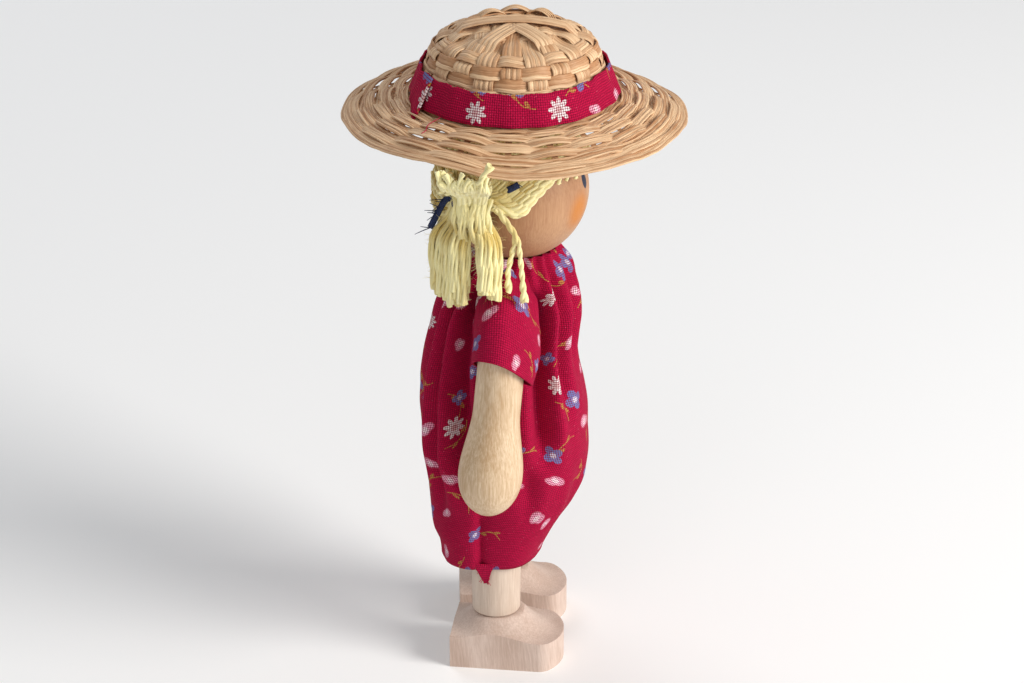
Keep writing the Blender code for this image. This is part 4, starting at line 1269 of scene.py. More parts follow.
# %% Splint tree
splint = Grower("splint", ["Width", "Thickness"])
settings = {"Curve": splint.curve, "Normal": splint.carried("facing", "FLOAT_VECTOR")}
faced = splint.node("GeometryNodeSetCurveNormal", settings, mode="FREE").outputs["Curve"]
across = splint.split(splint.node("GeometryNodeInputPosition").outputs["Position"])["Y"]
settings = {"Geometry": splint.circle(8, 1.0), "Name": "lane", "Value": across}
laned = splint.node("GeometryNodeStoreNamedAttribute", settings, data_type="FLOAT", domain="POINT")
thickness, width = (splint.times(splint.start[size], 0.5) for size in ("Thickness", "Width"))
settings = {"Geometry": laned.outputs["Geometry"], "Scale": splint.join(X=thickness, Y=width, Z=1.0)}
flat = splint.node("GeometryNodeTransform", settings).outputs["Geometry"]
splint.end(splint.sweep(faced, flat))
print("splint tree nodes:", len(splint.tree.nodes))

# %% [markdown]
# Yarn is two plies twisted round each other. Each ply is the strand's path, moved off it by an
# angle that grows with the length, half a turn apart from the other. A loose fibre is a plain thin
# strand, and also makes the frayed threads.

# %% Yarn and fibre trees
PLY_APART = 0.62

yarn = Grower("two_ply_yarn", ["Ply Radius", "Twist Pitch", "Spacing"])
settings = {"Curve": yarn.curve, "Length": yarn.start["Spacing"]}
evened = yarn.node("GeometryNodeResampleCurve", settings, mode="LENGTH").outputs["Curve"]
along = yarn.node("GeometryNodeSplineParameter").outputs["Length"]
tangent = yarn.node("GeometryNodeInputTangent").outputs["Tangent"]
normal = yarn.node("GeometryNodeInputNormal").outputs["Normal"]
sideways = yarn.vector("CROSS_PRODUCT", tangent, normal)
turns = yarn.times(yarn.math("DIVIDE", along, yarn.start["Twist Pitch"]), 2 * math.pi)
reach = yarn.times(yarn.start["Ply Radius"], yarn.times(yarn.carried("girth"), PLY_APART))
ply_ring = yarn.circle(6, yarn.start["Ply Radius"])
plies = yarn.node("GeometryNodeJoinGeometry")
for phase in (0, math.pi):
    angle = yarn.plus(turns, phase)
    out = yarn.vector("SCALE", normal, yarn.math("COSINE", angle))
    over = yarn.vector("SCALE", sideways, yarn.math("SINE", angle))
    offset = yarn.vector("SCALE", yarn.vector("ADD", out, over), reach)
    ply = yarn.node("GeometryNodeSetPosition", {"Geometry": evened, "Offset": offset}).outputs["Geometry"]
    yarn.feed(plies.inputs["Geometry"], yarn.sweep(ply, ply_ring))
yarn.end(plies.outputs["Geometry"])

fibre_tree = Grower("loose_fibre", ["Radius"])
fibre_tree.end(fibre_tree.sweep(fibre_tree.curve, fibre_tree.circle(4, fibre_tree.start["Radius"])))
print("yarn tree nodes:", len(yarn.tree.nodes), "fibre tree nodes:", len(fibre_tree.tree.nodes))

# %% [markdown]
# ## The woven straw hat
#
# This is the piece that takes the most skill on the real doll. Ten flat splints are plaited into a
# square at the top of the crown. They spread into twenty stakes that run down the crown and out to
# the brim's edge. Weavers go round them, over one stake and under the next: wide ones on the crown,
# bundles of thin ones on the brim. A bumpy shell with a weave drawn on it would show its smooth
# edge and no light through the gaps, so every strand is laid by itself.
#
# Straw has fine fibres along each strand and slow blotches, and each strand has a tone of its own.

# %% Straw finish
STRAW_LOOK = {"Roughness": 0.5, "Specular IOR Level": 0.35}
STRAW_RELIEF = 0.2 * MM
FIBRE_LANES, FIBRE_TONES, FIBRE_ALONG = 2.6, 50.0, 0.13


def make_straw():
    finish = Finish("split_straw", STRAW_LOOK)
    tone = finish.carried("tone")
    here = finish.place(PER_MM)
    lanes = finish.times(finish.carried("lane"), FIBRE_LANES)
    strand = finish.join(X=lanes, Y=finish.times(tone, FIBRE_TONES))
    fibre = finish.vector("ADD", strand, finish.vector("SCALE", here, FIBRE_ALONG))
    fibre = finish.noise(fibre, 4.0, 0.65)
    blotch = finish.noise(here, scale=0.35)
    share = finish.plus(finish.times(tone, 0.75), finish.times(blotch, 0.35))
    colour = finish.mix(finish.band(share, 0.15, 0.85), "AA7347", "ECC9A0")
    streak = finish.band(fibre, 0.42, 0.62)
    finish.paint(finish.mix(finish.times(streak, 0.6), colour, "9C683E"))
    finish.bump(fibre, 0.5, STRAW_RELIEF)
    return finish.look


straw = make_straw()
print("straw finish:", straw.name)

# %% [markdown]
# The hat has one middle line, from the brim's edge up the crown and over the dome, and it counts
# rows of weaving along it. A point of any strand is then an angle, a row, and a lift off the line.
# The brim droops unevenly, as a soft brim does.

# %% Line of the hat
STAKES = 20
BRIM_ROWS, WALL_ROWS, DOME_ROWS = 9, 4, 3
BRIM_RADIUS = 33.3
BRIM_EDGE_Z = 115.2
CROWN_RADIUS = 19.2
CROWN_BASE_Z = 118.8
CROWN_TOP_RADIUS = 16.0
DOME_Z = 127.5
DOME_RISE = 5.8
DOME_STOP = 0.99
LAST_ROW = BRIM_ROWS + WALL_ROWS + DOME_ROWS - 0.5


def hat_line(row):
    """Radius and height of the hat's middle line at a row, from -0.5 at the brim's edge."""
    if row < BRIM_ROWS - 0.5:
        share = (row + 0.5) / BRIM_ROWS
        rise = math.sin(math.pi / 2 * share)
        return mix(BRIM_RADIUS, CROWN_RADIUS, share), mix(BRIM_EDGE_Z, CROWN_BASE_Z, rise)
    if row < BRIM_ROWS + WALL_ROWS - 0.5:
        share = (row - BRIM_ROWS + 0.5) / WALL_ROWS
        return mix(CROWN_RADIUS, CROWN_TOP_RADIUS, share), mix(CROWN_BASE_Z, DOME_Z, share)
    angle = DOME_STOP * (row - BRIM_ROWS - WALL_ROWS + 0.5) / DOME_ROWS
    return CROWN_TOP_RADIUS * math.cos(angle), DOME_Z + DOME_RISE * math.sin(angle)


def dome_height(radius):
    return DOME_Z + DOME_RISE * math.sqrt(max(0, 1 - (radius / CROWN_TOP_RADIUS) ** 2))


print("hat rows:", BRIM_ROWS + WALL_ROWS + DOME_ROWS, "brim across in mm:", 2 * BRIM_RADIUS)

# %% Points on the hat
# Places where the brim is bent up and down: how far, degrees round and half width.
BENT_UP = (0.8, 156, 14)
BENT_DOWN = (0.7, 181, 12)


def hat_face(row):
    """Outward direction of the hat's surface as (radial, up), and its direction along the line."""
    before, after = hat_line(max(row - 0.2, -0.5)), hat_line(min(row + 0.2, LAST_ROW))
    run = Vector((after[0] - before[0], after[1] - before[1])).normalized()
    return Vector((run.y, -run.x)), run


def sag(angle, radius):
    """Uneven droop of the brim."""
    out = ease((radius - CROWN_RADIUS) / (BRIM_RADIUS - CROWN_RADIUS))
    degrees = math.degrees(angle) % 360
    bends = []
    for amount, place, half in (BENT_UP, BENT_DOWN):
        bends.append(amount * math.exp(-(((degrees - place) / half) ** 2)))
    waves = bends[0] - bends[1] + 0.5 * math.sin(angle) + 0.35 * math.sin(3 * angle + 0.6)
    return out * (waves + 0.3 * wander_round(angle, 1, 2.2))


def hat_point(angle, row, lift, slide=0.0):
    """Point lifted off the hat's surface and slid along its line, and its outward direction."""
    radius, height = hat_line(row)
    face, run = hat_face(row)
    radius += face.x * lift + run.x * slide
    height += face.y * lift + run.y * slide + sag(angle, radius)
    return Vector(polar(radius, angle, height)), Vector(polar(face.x, angle, face.y))


print("brim droop in mm:", [round(sag(turn, BRIM_RADIUS), 1) for turn in around(8)])

# %% [markdown]
# The rule of a weave is a cosine: its sign says which strand is on top. It turns over from one row
# to the next, and all ribs of a row stray together, because they are one bundle.

# %% Weavers
WEAVE_LIFT = 0.5
WEAVE_SQUARE = 0.75
STRAY_TOGETHER, STRAY_ALONE = 0.2, 0.14
WALL_RIBS, WALL_PITCH, WALL_LIFT, WALL_SEED = 3, 0.8, 0.8, 300
BRIM_THIN, BRIM_PITCH, BRIM_SEED = 7, 0.28, 50
BRIM_LIFT = (0.35, 0.65, 0.9, 1.1, 1.15, 1.1, 0.95, 0.8, 0.7)


def weaver(row, slide, lift, seed, steps):
    """One closed rib that goes over and under the stakes."""
    rng = random.Random(seed)
    shift = rng.uniform(-0.1, 0.1)
    lift *= rng.uniform(0.85, 1.15)
    points, facing = [], []
    for angle in around(STAKES * steps):
        wave = math.cos(STAKES / 2 * angle + math.pi * row + shift)
        wave = signed_power(wave, WEAVE_SQUARE)
        stray = STRAY_TOGETHER * wander_round(angle, 5, row * 3.3)
        stray += STRAY_ALONE * wander_round(angle, 10, seed * 1.7)
        point, face = hat_point(angle, row, lift * wave + 0.5 * stray, slide + stray)
        points.append(point)
        facing.append(face)
    tone, girth = rng.uniform(0.2, 1.0), rng.uniform(0.85, 1.1)
    return {"points": points, "facing": facing, "closed": True, "tone": tone, "girth": girth}


crown_weavers, brim_weavers = [], []
for row in range(BRIM_ROWS, BRIM_ROWS + WALL_ROWS + DOME_ROWS - 1):
    for rib in range(WALL_RIBS):
        seed = WALL_SEED + 9 * row + rib
        crown_weavers.append(weaver(row, (rib - 1) * WALL_PITCH, WEAVE_LIFT * WALL_LIFT, seed, 10))
for row in range(BRIM_ROWS):
    for thin in range(BRIM_THIN):
        lift = WEAVE_LIFT * BRIM_LIFT[row] * (1 - 0.1 * (thin % 3))
        brim_weavers.append(weaver(row, (thin - 3) * BRIM_PITCH, lift, BRIM_SEED + 9 * row + thin, 8))
print("weavers on crown and brim:", len(crown_weavers), len(brim_weavers))

# %% [markdown]
# A base splint is split into four ribs. Each rib starts at the brim's edge, turned under it, goes up
# the crown, is plaited over the top and runs down the other side. It thins out on the brim, where
# the weavers all but cover it.

# %% Stakes
STAKE_RIBS = 4
RIB_PITCH = 0.95
STAKE_STEP = 0.16
# Rows and lifts where a stake's end is turned under the brim.
STAKE_END = [(-0.4, -0.3), (-0.2, -0.7), (0.4, -0.85), (1.0, -0.8)]
RIB_ASIDE = [(rib - (STAKE_RIBS - 1) / 2) * RIB_PITCH for rib in range(STAKE_RIBS)]


def stake_side(angle, sign, offset):
    """Half of a rib: from the plaited top down to the brim's edge and back under it."""
    points, facing = [], []
    count = int((LAST_ROW + 0.3) / STAKE_STEP) + 1
    for row, set_lift in [(LAST_ROW - STAKE_STEP * step, None) for step in range(count)] + STAKE_END:
        on_crown = ease((row - BRIM_ROWS + 1.2) / 1.6)
        lift = -WEAVE_LIFT * mix(0.08, 0.75, on_crown) * sign * math.cos(math.pi * row)
        lift -= 0.3 * (1 - on_crown)
        radius = hat_line(row)[0]
        turn = angle + offset * mix(0.3, 1, on_crown) * min(1, radius / 13) / radius
        point, face = hat_point(turn, row, lift if set_lift is None else set_lift)
        points.append(point)
        facing.append(face)
    return points, facing


print("ribs of a splint lie at, in mm:", RIB_ASIDE)

# %% Plaited top
MAT_PITCH = 2.95
MAT_HALF = 7.4
MAT_STEPS = 24
MAT_CROWN = 18
STAKE_THIN, STAKE_THIN_RUN = 24, 5


def plaited(way, index, aside, bow):
    """Middle of a rib, over and under the splints that cross it on the top."""
    turn = Matrix.Rotation(way * math.pi / 2, 3, "Z")
    points, facing = [], []
    for share in shares(MAT_STEPS):
        along = mix(MAT_HALF, -MAT_HALF, share)
        over = math.cos(math.pi * (along / MAT_PITCH + index)) * (1 if way == 0 else -1)
        offset = index * MAT_PITCH + 0.7 * aside + bow * math.cos(math.pi / 2 * along / MAT_HALF)
        height = dome_height(math.hypot(along, offset)) + 0.4 * over
        points.append(turn @ Vector((along, offset, height)))
        facing.append(turn @ Vector((along, offset, MAT_CROWN)).normalized())
    return points, facing


def shaded(tone, rng):
    """Tone of one rib of a splint."""
    return min(max(tone + rng.uniform(-0.2, 0.2), 0.05), 1)


def off_brim(point):
    """0 on the outer brim, where a rib is thin, to 1 on the crown."""
    return ease((STAKE_THIN - math.hypot(point.x, point.y)) / STAKE_THIN_RUN)


def base_splints():
    """Ten splints, five each way, plaited over the top and spread into twenty stakes."""
    ribs = []
    spread = 2 * math.pi / STAKES
    for way in (0, 1):
        quarter = way * math.pi / 2
        for index in range(-2, 3):
            rng = random.Random(200 + 10 * way + index)
            tone, bow = rng.uniform(0.55, 0.9), rng.uniform(-1.1, 1.1)
            sign = 1 if (index + 5 * way) % 2 == 0 else -1
            for aside in RIB_ASIDE:
                first = stake_side(quarter + index * spread, sign, aside)
                middle = plaited(way, index, aside, bow)
                last = stake_side(quarter + math.pi - index * spread, sign, -aside)
                points = first[0][::-1] + middle[0] + last[0]
                facing = first[1][::-1] + middle[1] + last[1]
                size = rng.uniform(0.9, 1.08)
                shade = shaded(tone, rng)
                girth = [size * mix(0.36, 1, off_brim(point)) for point in points]
                shades = [mix(0.4, shade, off_brim(point)) for point in points]
                ribs.append({"points": points, "facing": facing, "tone": shades, "girth": girth})
    return ribs


stakes = base_splints()
print("ribs of base splints:", len(stakes))

# %% [markdown]
# Loose splints lie over the plaited top: a few long ones that reach the rim, and three short loops.
# They are listed one by one, because they follow no rule on the real hat either.

# %% Loose splints
# Both ends in plan, lift above the dome, height of the arch, and which ends are tucked in.
TOP_SPLINTS = [
    ((-1.6, 12.6), (-0.4, -12.4), 1.15, 0.15, False, False),
    ((-1.6, -1.8), (-12.2, 6.6), 0.8, 0.15, True, False),
    ((-2.2, 1.0), (-10.8, -8.0), 0.85, 0.15, True, False),
    ((4.0, 10.4), (9.0, -7.0), 0.5, 0.15, False, False),
    ((4.6, 7.6), (6.2, 2.2), 0.3, 1.0, True, True),
    ((6.6, 3.4), (6.8, -3.2), 0.3, 1.3, True, True),
    ((6.6, -2.4), (5.0, -7.4), 0.3, 1.2, True, True),
]
TOP_STEPS = 18
TOP_SEED = 700
TUCK_SHARE, TUCKED_LIFT = 0.12, -0.5
RIM_TUCK, RIM_TUCK_RUN = 10.2, 2.2


def top_splints():
    ribs = []
    for place, (start, end, lift, arch, start_tucked, end_tucked) in enumerate(TOP_SPLINTS):
        rng = random.Random(TOP_SEED + place)
        run = Vector((*end, 0)) - Vector((*start, 0))
        aside_way = Vector((-run.y, run.x, 0)).normalized()
        tone = rng.uniform(0.55, 0.9)
        for aside in RIB_ASIDE:
            points, facing = [], []
            for share in shares(TOP_STEPS):
                spot = Vector((*start, 0)) + run * share + aside_way * aside
                radius = math.hypot(spot.x, spot.y)
                tucked = ease((radius - RIM_TUCK) / RIM_TUCK_RUN)
                if start_tucked:
                    tucked = max(tucked, ease((TUCK_SHARE - share) / TUCK_SHARE))
                if end_tucked:
                    tucked = max(tucked, ease((share - 1 + TUCK_SHARE) / TUCK_SHARE))
                height = dome_height(min(radius, 15.5)) + mix(lift, TUCKED_LIFT, tucked)
                points.append(Vector((spot.x, spot.y, height + arch * math.sin(math.pi * share))))
                facing.append(Vector((spot.x, spot.y, MAT_CROWN)).normalized())
            shade, girth = shaded(tone, rng), rng.uniform(0.9, 1.08)
            ribs.append({"points": points, "facing": facing, "tone": shade, "girth": girth})
    return ribs


RIB = {"Width": 1.1 * MM, "Thickness": 0.34 * MM}
THIN_RIB = {"Width": 0.54 * MM, "Thickness": 0.44 * MM}
crown_piece = grow("hat_crown_weavers", crown_weavers, splint, RIB, straw)
brim_piece = grow("hat_brim_weavers", brim_weavers, splint, THIN_RIB, straw)
stake_piece = grow("hat_stakes", stakes + top_splints(), splint, RIB, straw)
for piece in (crown_piece, brim_piece, stake_piece):
    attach(piece, "head")
    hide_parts("straw_hat")

# %% [markdown]
# ## The hat's band
#
# A torn strip of the dress cotton goes round the crown. Its top edge is ragged, and its end laps
# over its start behind the doll's right shoulder and stands off the crown. A plain ring could not
# lap, so the strip is a sheet whose angle runs a little past a full turn.

# %% Band sheet
BAND_LOW = 119.7
BAND_WIDTH = 5.9
BAND_START = math.radians(112)
BAND_LAP = math.radians(14)
BAND_COLUMNS, BAND_LEVELS = 260, 10
BAND_OUT, CROWN_SLOPE = 1.3, 0.37
BAND_CLOTH, BAND_CLOTH_START, BAND_CLOTH_LOW = 125, 52, 133
LAP_START, LAP_RUN, LAP_OUT = 0.93, 0.03, 0.55
FLARE_START, FLARE_RUN, FLARE_OUT, FLARE_DROP = 0.955, 0.045, 1.9, 1.5


def band_point(part, share):
    """Point of the band at a part of its length and a share of its width."""
    angle = BAND_START + (2 * math.pi + BAND_LAP) * part
    rag = 0.3 * wander(part * 60, 4.4, 0) + 0.2 * wander(part * 190, 9.1, 0)
    droop = 0.45 * wander_round(angle, 1.3, 8.0)
    height = BAND_LOW + droop + share * (BAND_WIDTH + rag)
    radius = CROWN_RADIUS - CROWN_SLOPE * (height - CROWN_BASE_Z) + BAND_OUT
    radius += 0.12 * math.cos(STAKES * angle) + 0.15 * wander(part * 30, share * 2, 1.5)
    flare = ease((part - FLARE_START) / FLARE_RUN)
    radius += LAP_OUT * ease((part - LAP_START) / LAP_RUN) + flare * FLARE_OUT * (1 - share) ** 1.2
    height -= flare * FLARE_DROP * (1 - share)
    return polar(radius, angle, height + sag(angle, radius))


parts, levels = shares(BAND_COLUMNS), shares(BAND_LEVELS)
rows = [[band_point(part, share) for part in parts] for share in levels]
widths = [[part * BAND_CLOTH + BAND_CLOTH_START for part in parts]] * len(rows)
lengths = [share * BAND_WIDTH + BAND_CLOTH_LOW for share in levels]
band = cloth_sheet("hat_band_cloth", rows, widths, lengths, False)
thicken(band, "cotton_thickness", COTTON_THICKNESS, 0)
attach(band, "head")
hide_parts("hat_band")
print("band wrapped, width in mm:", BAND_WIDTH)

# %% [markdown]
# ## Yarn hair
#
# The hair is two-ply yarn in pale yellow. Strands are laid over the head from a middle parting to
# each side and tied there with a dark ribbon. Hair particles are made for thousands of thin hairs,
# and this doll has a few hundred thick strands that each show, so they are grown from paths.
#
# The finish is soft and matt, with a sheen. Its tone comes from the strand, with a painted shade deep
# in the pigtail bunches, from slow blotches, and from a painted shade that deepens the yellow just below
# the tie.

# %% Yarn finish
YARN_LOOK = {"Roughness": 0.9, "Sheen Weight": 0.35, "Sheen Roughness": 0.5, "Specular IOR Level": 0.15}
YARN_FIBRES = (5, 5, 1.4)
YARN_RELIEF = 0.15 * MM
TIE_SHADE_LOW, TIE_SHADE_HIGH = (92.5, 97.5), (98.5, 101.5)


def make_yarn():
    finish = Finish("pale_yarn", YARN_LOOK)
    here = finish.place(PER_MM)
    fibre = finish.noise(finish.vector("MULTIPLY", here, YARN_FIBRES), 4.0, 0.7)
    blotch = finish.noise(here, 2.0, scale=0.3)
    height = finish.split(here)["Z"]
    # Painted shade: the yellow is deeper in a band just below the tie.
    above = finish.minus(1.0, finish.band(height, *TIE_SHADE_HIGH))
    tie_shade = finish.times(finish.band(height, *TIE_SHADE_LOW), above)
    share = finish.plus(finish.times(finish.carried("tone"), 0.7), finish.times(blotch, 0.4))
    share = finish.minus(share, finish.times(tie_shade, finish.times(blotch, 0.5)))
    colour = finish.mix(finish.band(share, 0.15, 0.8), "C6A647", "F5EBB2")
    finish.paint(finish.mix(finish.times(finish.band(fibre, 0.5, 0.75), 0.3), colour, "DCC976"))
    finish.bump(fibre, 0.6, YARN_RELIEF)
    return finish.look


yarn_finish = make_yarn()
print("yarn finish:", yarn_finish.name)

# %% [markdown]
# A laid strand goes from the parting to the tie between two of three guides: over the forehead, over
# the top and round the back. Each point is a direction from the head's centre, and the head's oval,
# grown by the hair's thickness, says how far out it lies. A fringe of short strands fills the brow.

# %% Guides of the hair
HAIR_OUT = 1.0
HAIR_RISE = 17.0
# Guides from the parting to the tie, measured from the head's centre.
FRONT_GUIDE = [
    (0.3, -11.5, 10.5), (7.0, -10.6, 8.8), (12.0, -8.0, 6.7), (15.0, -4.5, 3.6),
    (16.0, -1.8, 0.7), (15.7, 2.0, 1.6), (14.2, 6.4, 2.9),
]
TOP_GUIDE = [
    (0.3, -2.0, 15.5), (5.0, -0.5, 14.5), (9.0, 2.0, 12.0),
    (12.0, 4.2, 9.0), (13.6, 5.6, 6.0), (14.2, 6.4, 3.4),
]
BACK_GUIDE = [
    (0.3, 13.6, -6.5), (4.0, 13.8, -6.8), (8.0, 12.6, -5.6),
    (11.2, 10.6, -3.2), (13.2, 8.4, 0.0), (14.2, 6.4, 2.9),
]


def on_head(direction, grown):
    """Point of the hair in a direction from the head's centre, in millimetres."""
    direction = Vector(direction).normalized()
    rise = HAIR_RISE if direction.z > 0 else HEAD_HALF_HEIGHT / MM
    half = (HEAD_HALF_WIDTH / MM + grown, HEAD_HALF_WIDTH / MM + grown, rise + grown)
    size = 1 / math.sqrt(sum((part / reach) ** 2 for part, reach in zip(direction, half)))
    return Vector((0, 0, HEAD_Z / MM)) + direction * size


print("hair over the crown of the head in mm:", round(on_head((0, 0, 1), HAIR_OUT).z, 1))

# %% Laid hair
LAID, LAID_STEPS = 50, 21
FRINGE, FRINGE_STEPS = 7, 7
YARN_SIZES = {"Ply Radius": 0.40 * MM, "Twist Pitch": 4.6 * MM, "Spacing": 0.5 * MM}


def laid_strand(side, index, rng):
    share = 2 * index / (LAID - 1)
    first, last = (FRONT_GUIDE, TOP_GUIDE) if share < 1 else (TOP_GUIDE, BACK_GUIDE)
    between = share % 1 if share < 2 else 1
    rolled = ease((0.22 - share) / 0.1)
    layer = HAIR_OUT + 0.45 * rng.random() + rolled * 0.8 * rng.random()
    points = []
    for part in shares(LAID_STEPS):
        direction = flow(first, part).lerp(flow(last, part), between)
        direction.x *= side
        stray = 0.25 * wander(index * 1.3, part * 3, side)
        points.append(on_head(direction, layer + stray + 0.9 * part**4))
    tone = rng.uniform(0.3, 0.95)
    return {"points": points, "tone": max(tone, rolled * 0.8), "girth": rng.uniform(0.95, 1.15)}


def fringe_strand(side, index, rng):
    turn = math.radians(6 + 8 * index + rng.uniform(-2, 2))
    low = rng.uniform(0.36, 0.48)
    points = []
    for share in shares(FRINGE_STEPS):
        lean = turn + 0.12 * share
        direction = (side * math.sin(lean), -math.cos(lean), mix(0.9, low, share))
        points.append(on_head(direction, HAIR_OUT + 0.3 * rng.random()))
    return {"points": points, "tone": rng.uniform(0.6, 1.0), "girth": 0.9}


hair_paths = []
for side in SIDES.values():
    rng = random.Random(31 + side)
    hair_paths += [laid_strand(side, index, rng) for index in range(LAID)]
    hair_paths += [fringe_strand(side, index, rng) for index in range(FRINGE)]
hair = grow("hair_strands", hair_paths, yarn, YARN_SIZES, yarn_finish)
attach(hair, "head")

# %% [markdown]
# Under the strands lies a closed layer of yarn, so that no wood shows between them. It follows the
# hairline below and gathers above into a bun that carries the hat's crown.

# %% Base of the hair
# Lower edge of the hair: degrees round from the face, and height above the head's centre.
hairline = smooth_line([
    (0, 9.2), (40, 8.8), (55, 8.0), (66, 6.8), (75, 4.8), (84, 2.4),
    (96, 2.2), (114, 2.6), (130, -1.4), (147, -4.0), (180, -5.2),
])
HAIR_UNDER = 0.6
HAIR_LEVELS, HAIR_AROUND = 26, 96
HAIR_TILT = 1.15
HAIR_WALL = 0.4 * MM
# Radius and height of the bun.
BUN = [(6.0, 118.0), (6.0, 124.0), (5.4, 129.0), (3.0, 131.3), (0.4, 131.5)]


def hair_ring(share, angles):
    ring = []
    for angle in angles:
        low = hairline(abs((math.degrees(angle) + 270) % 360 - 180))
        low = math.asin(low / (HAIR_RISE if low > 0 else HEAD_HALF_HEIGHT / MM))
        tilt = mix(low, HAIR_TILT, share)
        ring.append(on_head(polar(math.cos(tilt), angle, math.sin(tilt)), HAIR_UNDER) * MM)
    return ring


angles = around(HAIR_AROUND)
rings = [hair_ring(share, angles) for share in shares(HAIR_LEVELS)]
for radius, height in BUN:
    rings.append([Vector(polar(radius, turn, height)) * MM for turn in angles])
cap = settle(skin(rings, closed_ends=False), "hair_base", yarn_finish)
thicken(cap, "yarn_thickness", HAIR_WALL, -1)
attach(cap, "head")
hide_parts("hair_cap")
print("hair base rings:", len(rings))

# %% [markdown]
# ## Pigtails
#
# Above the tie the cut ends stand up against the brim, and below it a bunch hangs to the shoulder
# in a few locks. Each bunch spreads its strands evenly over a disk, from which they fan out, and
# noise bends every strand a little in its own way.

# %% Place of the tie
TIE_TURN = math.radians(24)
TIE_Z = 103.0
HAIR_EDGE = 16.1
GOLDEN_TURN = 2.39996


def tie_place(side, out, round_back=0.0):
    """Level place outwards from the head's axis through the tie, and round towards the back."""
    across = out * math.cos(TIE_TURN) - round_back * math.sin(TIE_TURN)
    deep = out * math.sin(TIE_TURN) + round_back * math.cos(TIE_TURN)
    return Vector((side * across, deep, 0))


def at_tie(side, round_back, out, height):
    """Point near the tie: towards the back, outwards from the hair and up, in millimetres."""
    return tie_place(side, HAIR_EDGE + out, round_back) + Vector((0, 0, height))


def disk(index, count):
    """Place number index of count spread evenly over a disk, and its distance from the middle."""
    reach = math.sqrt((index + 0.5) / count)
    return polar(reach, index * GOLDEN_TURN, reach)


print("right tie at, in mm:", [round(part, 1) for part in at_tie(-1, 0, 0, TIE_Z)])

# %% Hanging bunch
HANG_STEPS = 16
HANG_GIRTH = [1.0] * 14 + [1.06, 1.16, 1.22]
TIP_UNEVEN = 1.7
# Locks: towards the back, outwards, spread, lowest tip and number of strands.
LOCKS = [
    (6.1, 3.2, 2.0, 83.2, 30), (2.7, 4.4, 2.1, 81.6, 32), (0.8, 4.8, 1.6, 82.8, 18),
    (4.4, 1.6, 1.8, 85.2, 14), (-4.0, 4.4, 1.6, 85.4, 24), (-5.3, 3.2, 1.5, 84.2, 20),
    (-3.6, 1.4, 1.3, 86.8, 10),
]


def hanging(side, seed):
    rng = random.Random(seed)
    paths = []
    for number, (centre, out, spread, lowest, count) in enumerate(LOCKS):
        for index in range(count):
            east, north, reach = disk(index, count)
            tie = (0.45 * centre + 0.7 * east, 2.9 + 0.32 * (out - 3) + 0.7 * north)
            tip = lowest + abs(rng.gauss(0, TIP_UNEVEN))
            points = []
            for part in shares(HANG_STEPS):
                fan = ease(part / 0.5)
                close = spread * (1 - 0.22 * part**2 + 0.12 * math.sin(math.pi * part))
                sway = 0.28 * part * wander(number * 5 + index * 0.9, part * 2.6, seed)
                behind = mix(tie[0], centre + close * east + sway, fan)
                away = mix(tie[1], out + close * north + sway, fan)
                points.append(at_tie(side, behind, max(away, 0.4), mix(TIE_Z + 0.4, tip, part)))
            # Painted shade: strands deep inside a lock are darker, and outer ones and those further from
            # the head paler, with a random part.
            tone = 0.25 + 0.4 * reach + 0.07 * north * spread + rng.uniform(-0.15, 0.2)
            paths.append({"points": points, "tone": tone, "girth": HANG_GIRTH})
    return paths


print("strands in each hanging bunch:", sum(lock[-1] for lock in LOCKS))

# %% [markdown]
# The cut ends splay under the brim, and half of them curl over. Loops of yarn over the tie nearly
# hide the ribbon.

# %% Standing ends and knot
STANDING, STAND_STEPS = 84, 11
STAND_GIRTH = [1.0] * 9 + [1.05, 1.12, 1.18]
KNOTTED, KNOT_STEPS = 16, 12
KNOT_FRONT, KNOT_BACK, KNOT_HALF = -5.2, 1.8, 5.6


def standing(side, seed):
    rng = random.Random(seed)
    paths = []
    for index in range(STANDING):
        east, north, reach = disk(index, STANDING)
        top = rng.uniform(109.0, 114.2) - 1.4 * reach
        curl = rng.uniform(0.6, 1.6) if rng.random() < 0.5 else 0.0
        points = []
        for part in shares(STAND_STEPS):
            fan = ease(part * 0.9 + 0.1)
            sway = 0.5 * part * wander(index * 1.9, part * 2.5, seed)
            behind = mix(1.8 * east, -0.8 + 4.6 * east + sway, fan)
            away = mix(2.9 + 1.2 * north, 5.2 + 3.6 * north + sway, fan)
            over = ease((part - 0.55) / 0.45) * curl
            height = mix(TIE_Z - 0.4, top, part) - over * 1.2
            points.append(at_tie(side, behind + over * east, max(away + over * 1.1, 0.4), height))
        # Painted shade: ends deep inside the bunch are darker and outer ones paler, with a random part.
        tone = 0.62 + 0.35 * reach + rng.uniform(-0.15, 0.2)
        paths.append({"points": points, "tone": tone, "girth": STAND_GIRTH})
    return paths


def knotted(side, seed):
    rng = random.Random(seed)
    paths = []
    for index in range(KNOTTED):
        across = mix(KNOT_FRONT, KNOT_BACK, index / (KNOTTED - 1)) + rng.uniform(-0.3, 0.3)
        bulge = math.sqrt(max(0.05, 1 - (across / KNOT_HALF) ** 2))
        high, low = rng.uniform(104.8, 108.0), rng.uniform(96.0, 99.6)
        points = []
        for part in shares(KNOT_STEPS):
            swell = math.sin(math.pi * part) ** 0.6
            sway = 0.7 * wander(index * 2.3, part * 2.4, seed)
            away = 2.6 + bulge * (2.3 + 1.5 * swell) + 0.4 * sway
            behind = across * (0.85 + 0.2 * abs(part - 0.5)) + sway
            points.append(at_tie(side, behind, away, mix(high, low, part)))
        tone, girth = rng.uniform(0.55, 1.0), rng.uniform(0.95, 1.2)
        paths.append({"points": points, "tone": tone, "girth": girth})
    return paths


print("standing ends:", STANDING, "loops over the tie:", KNOTTED)
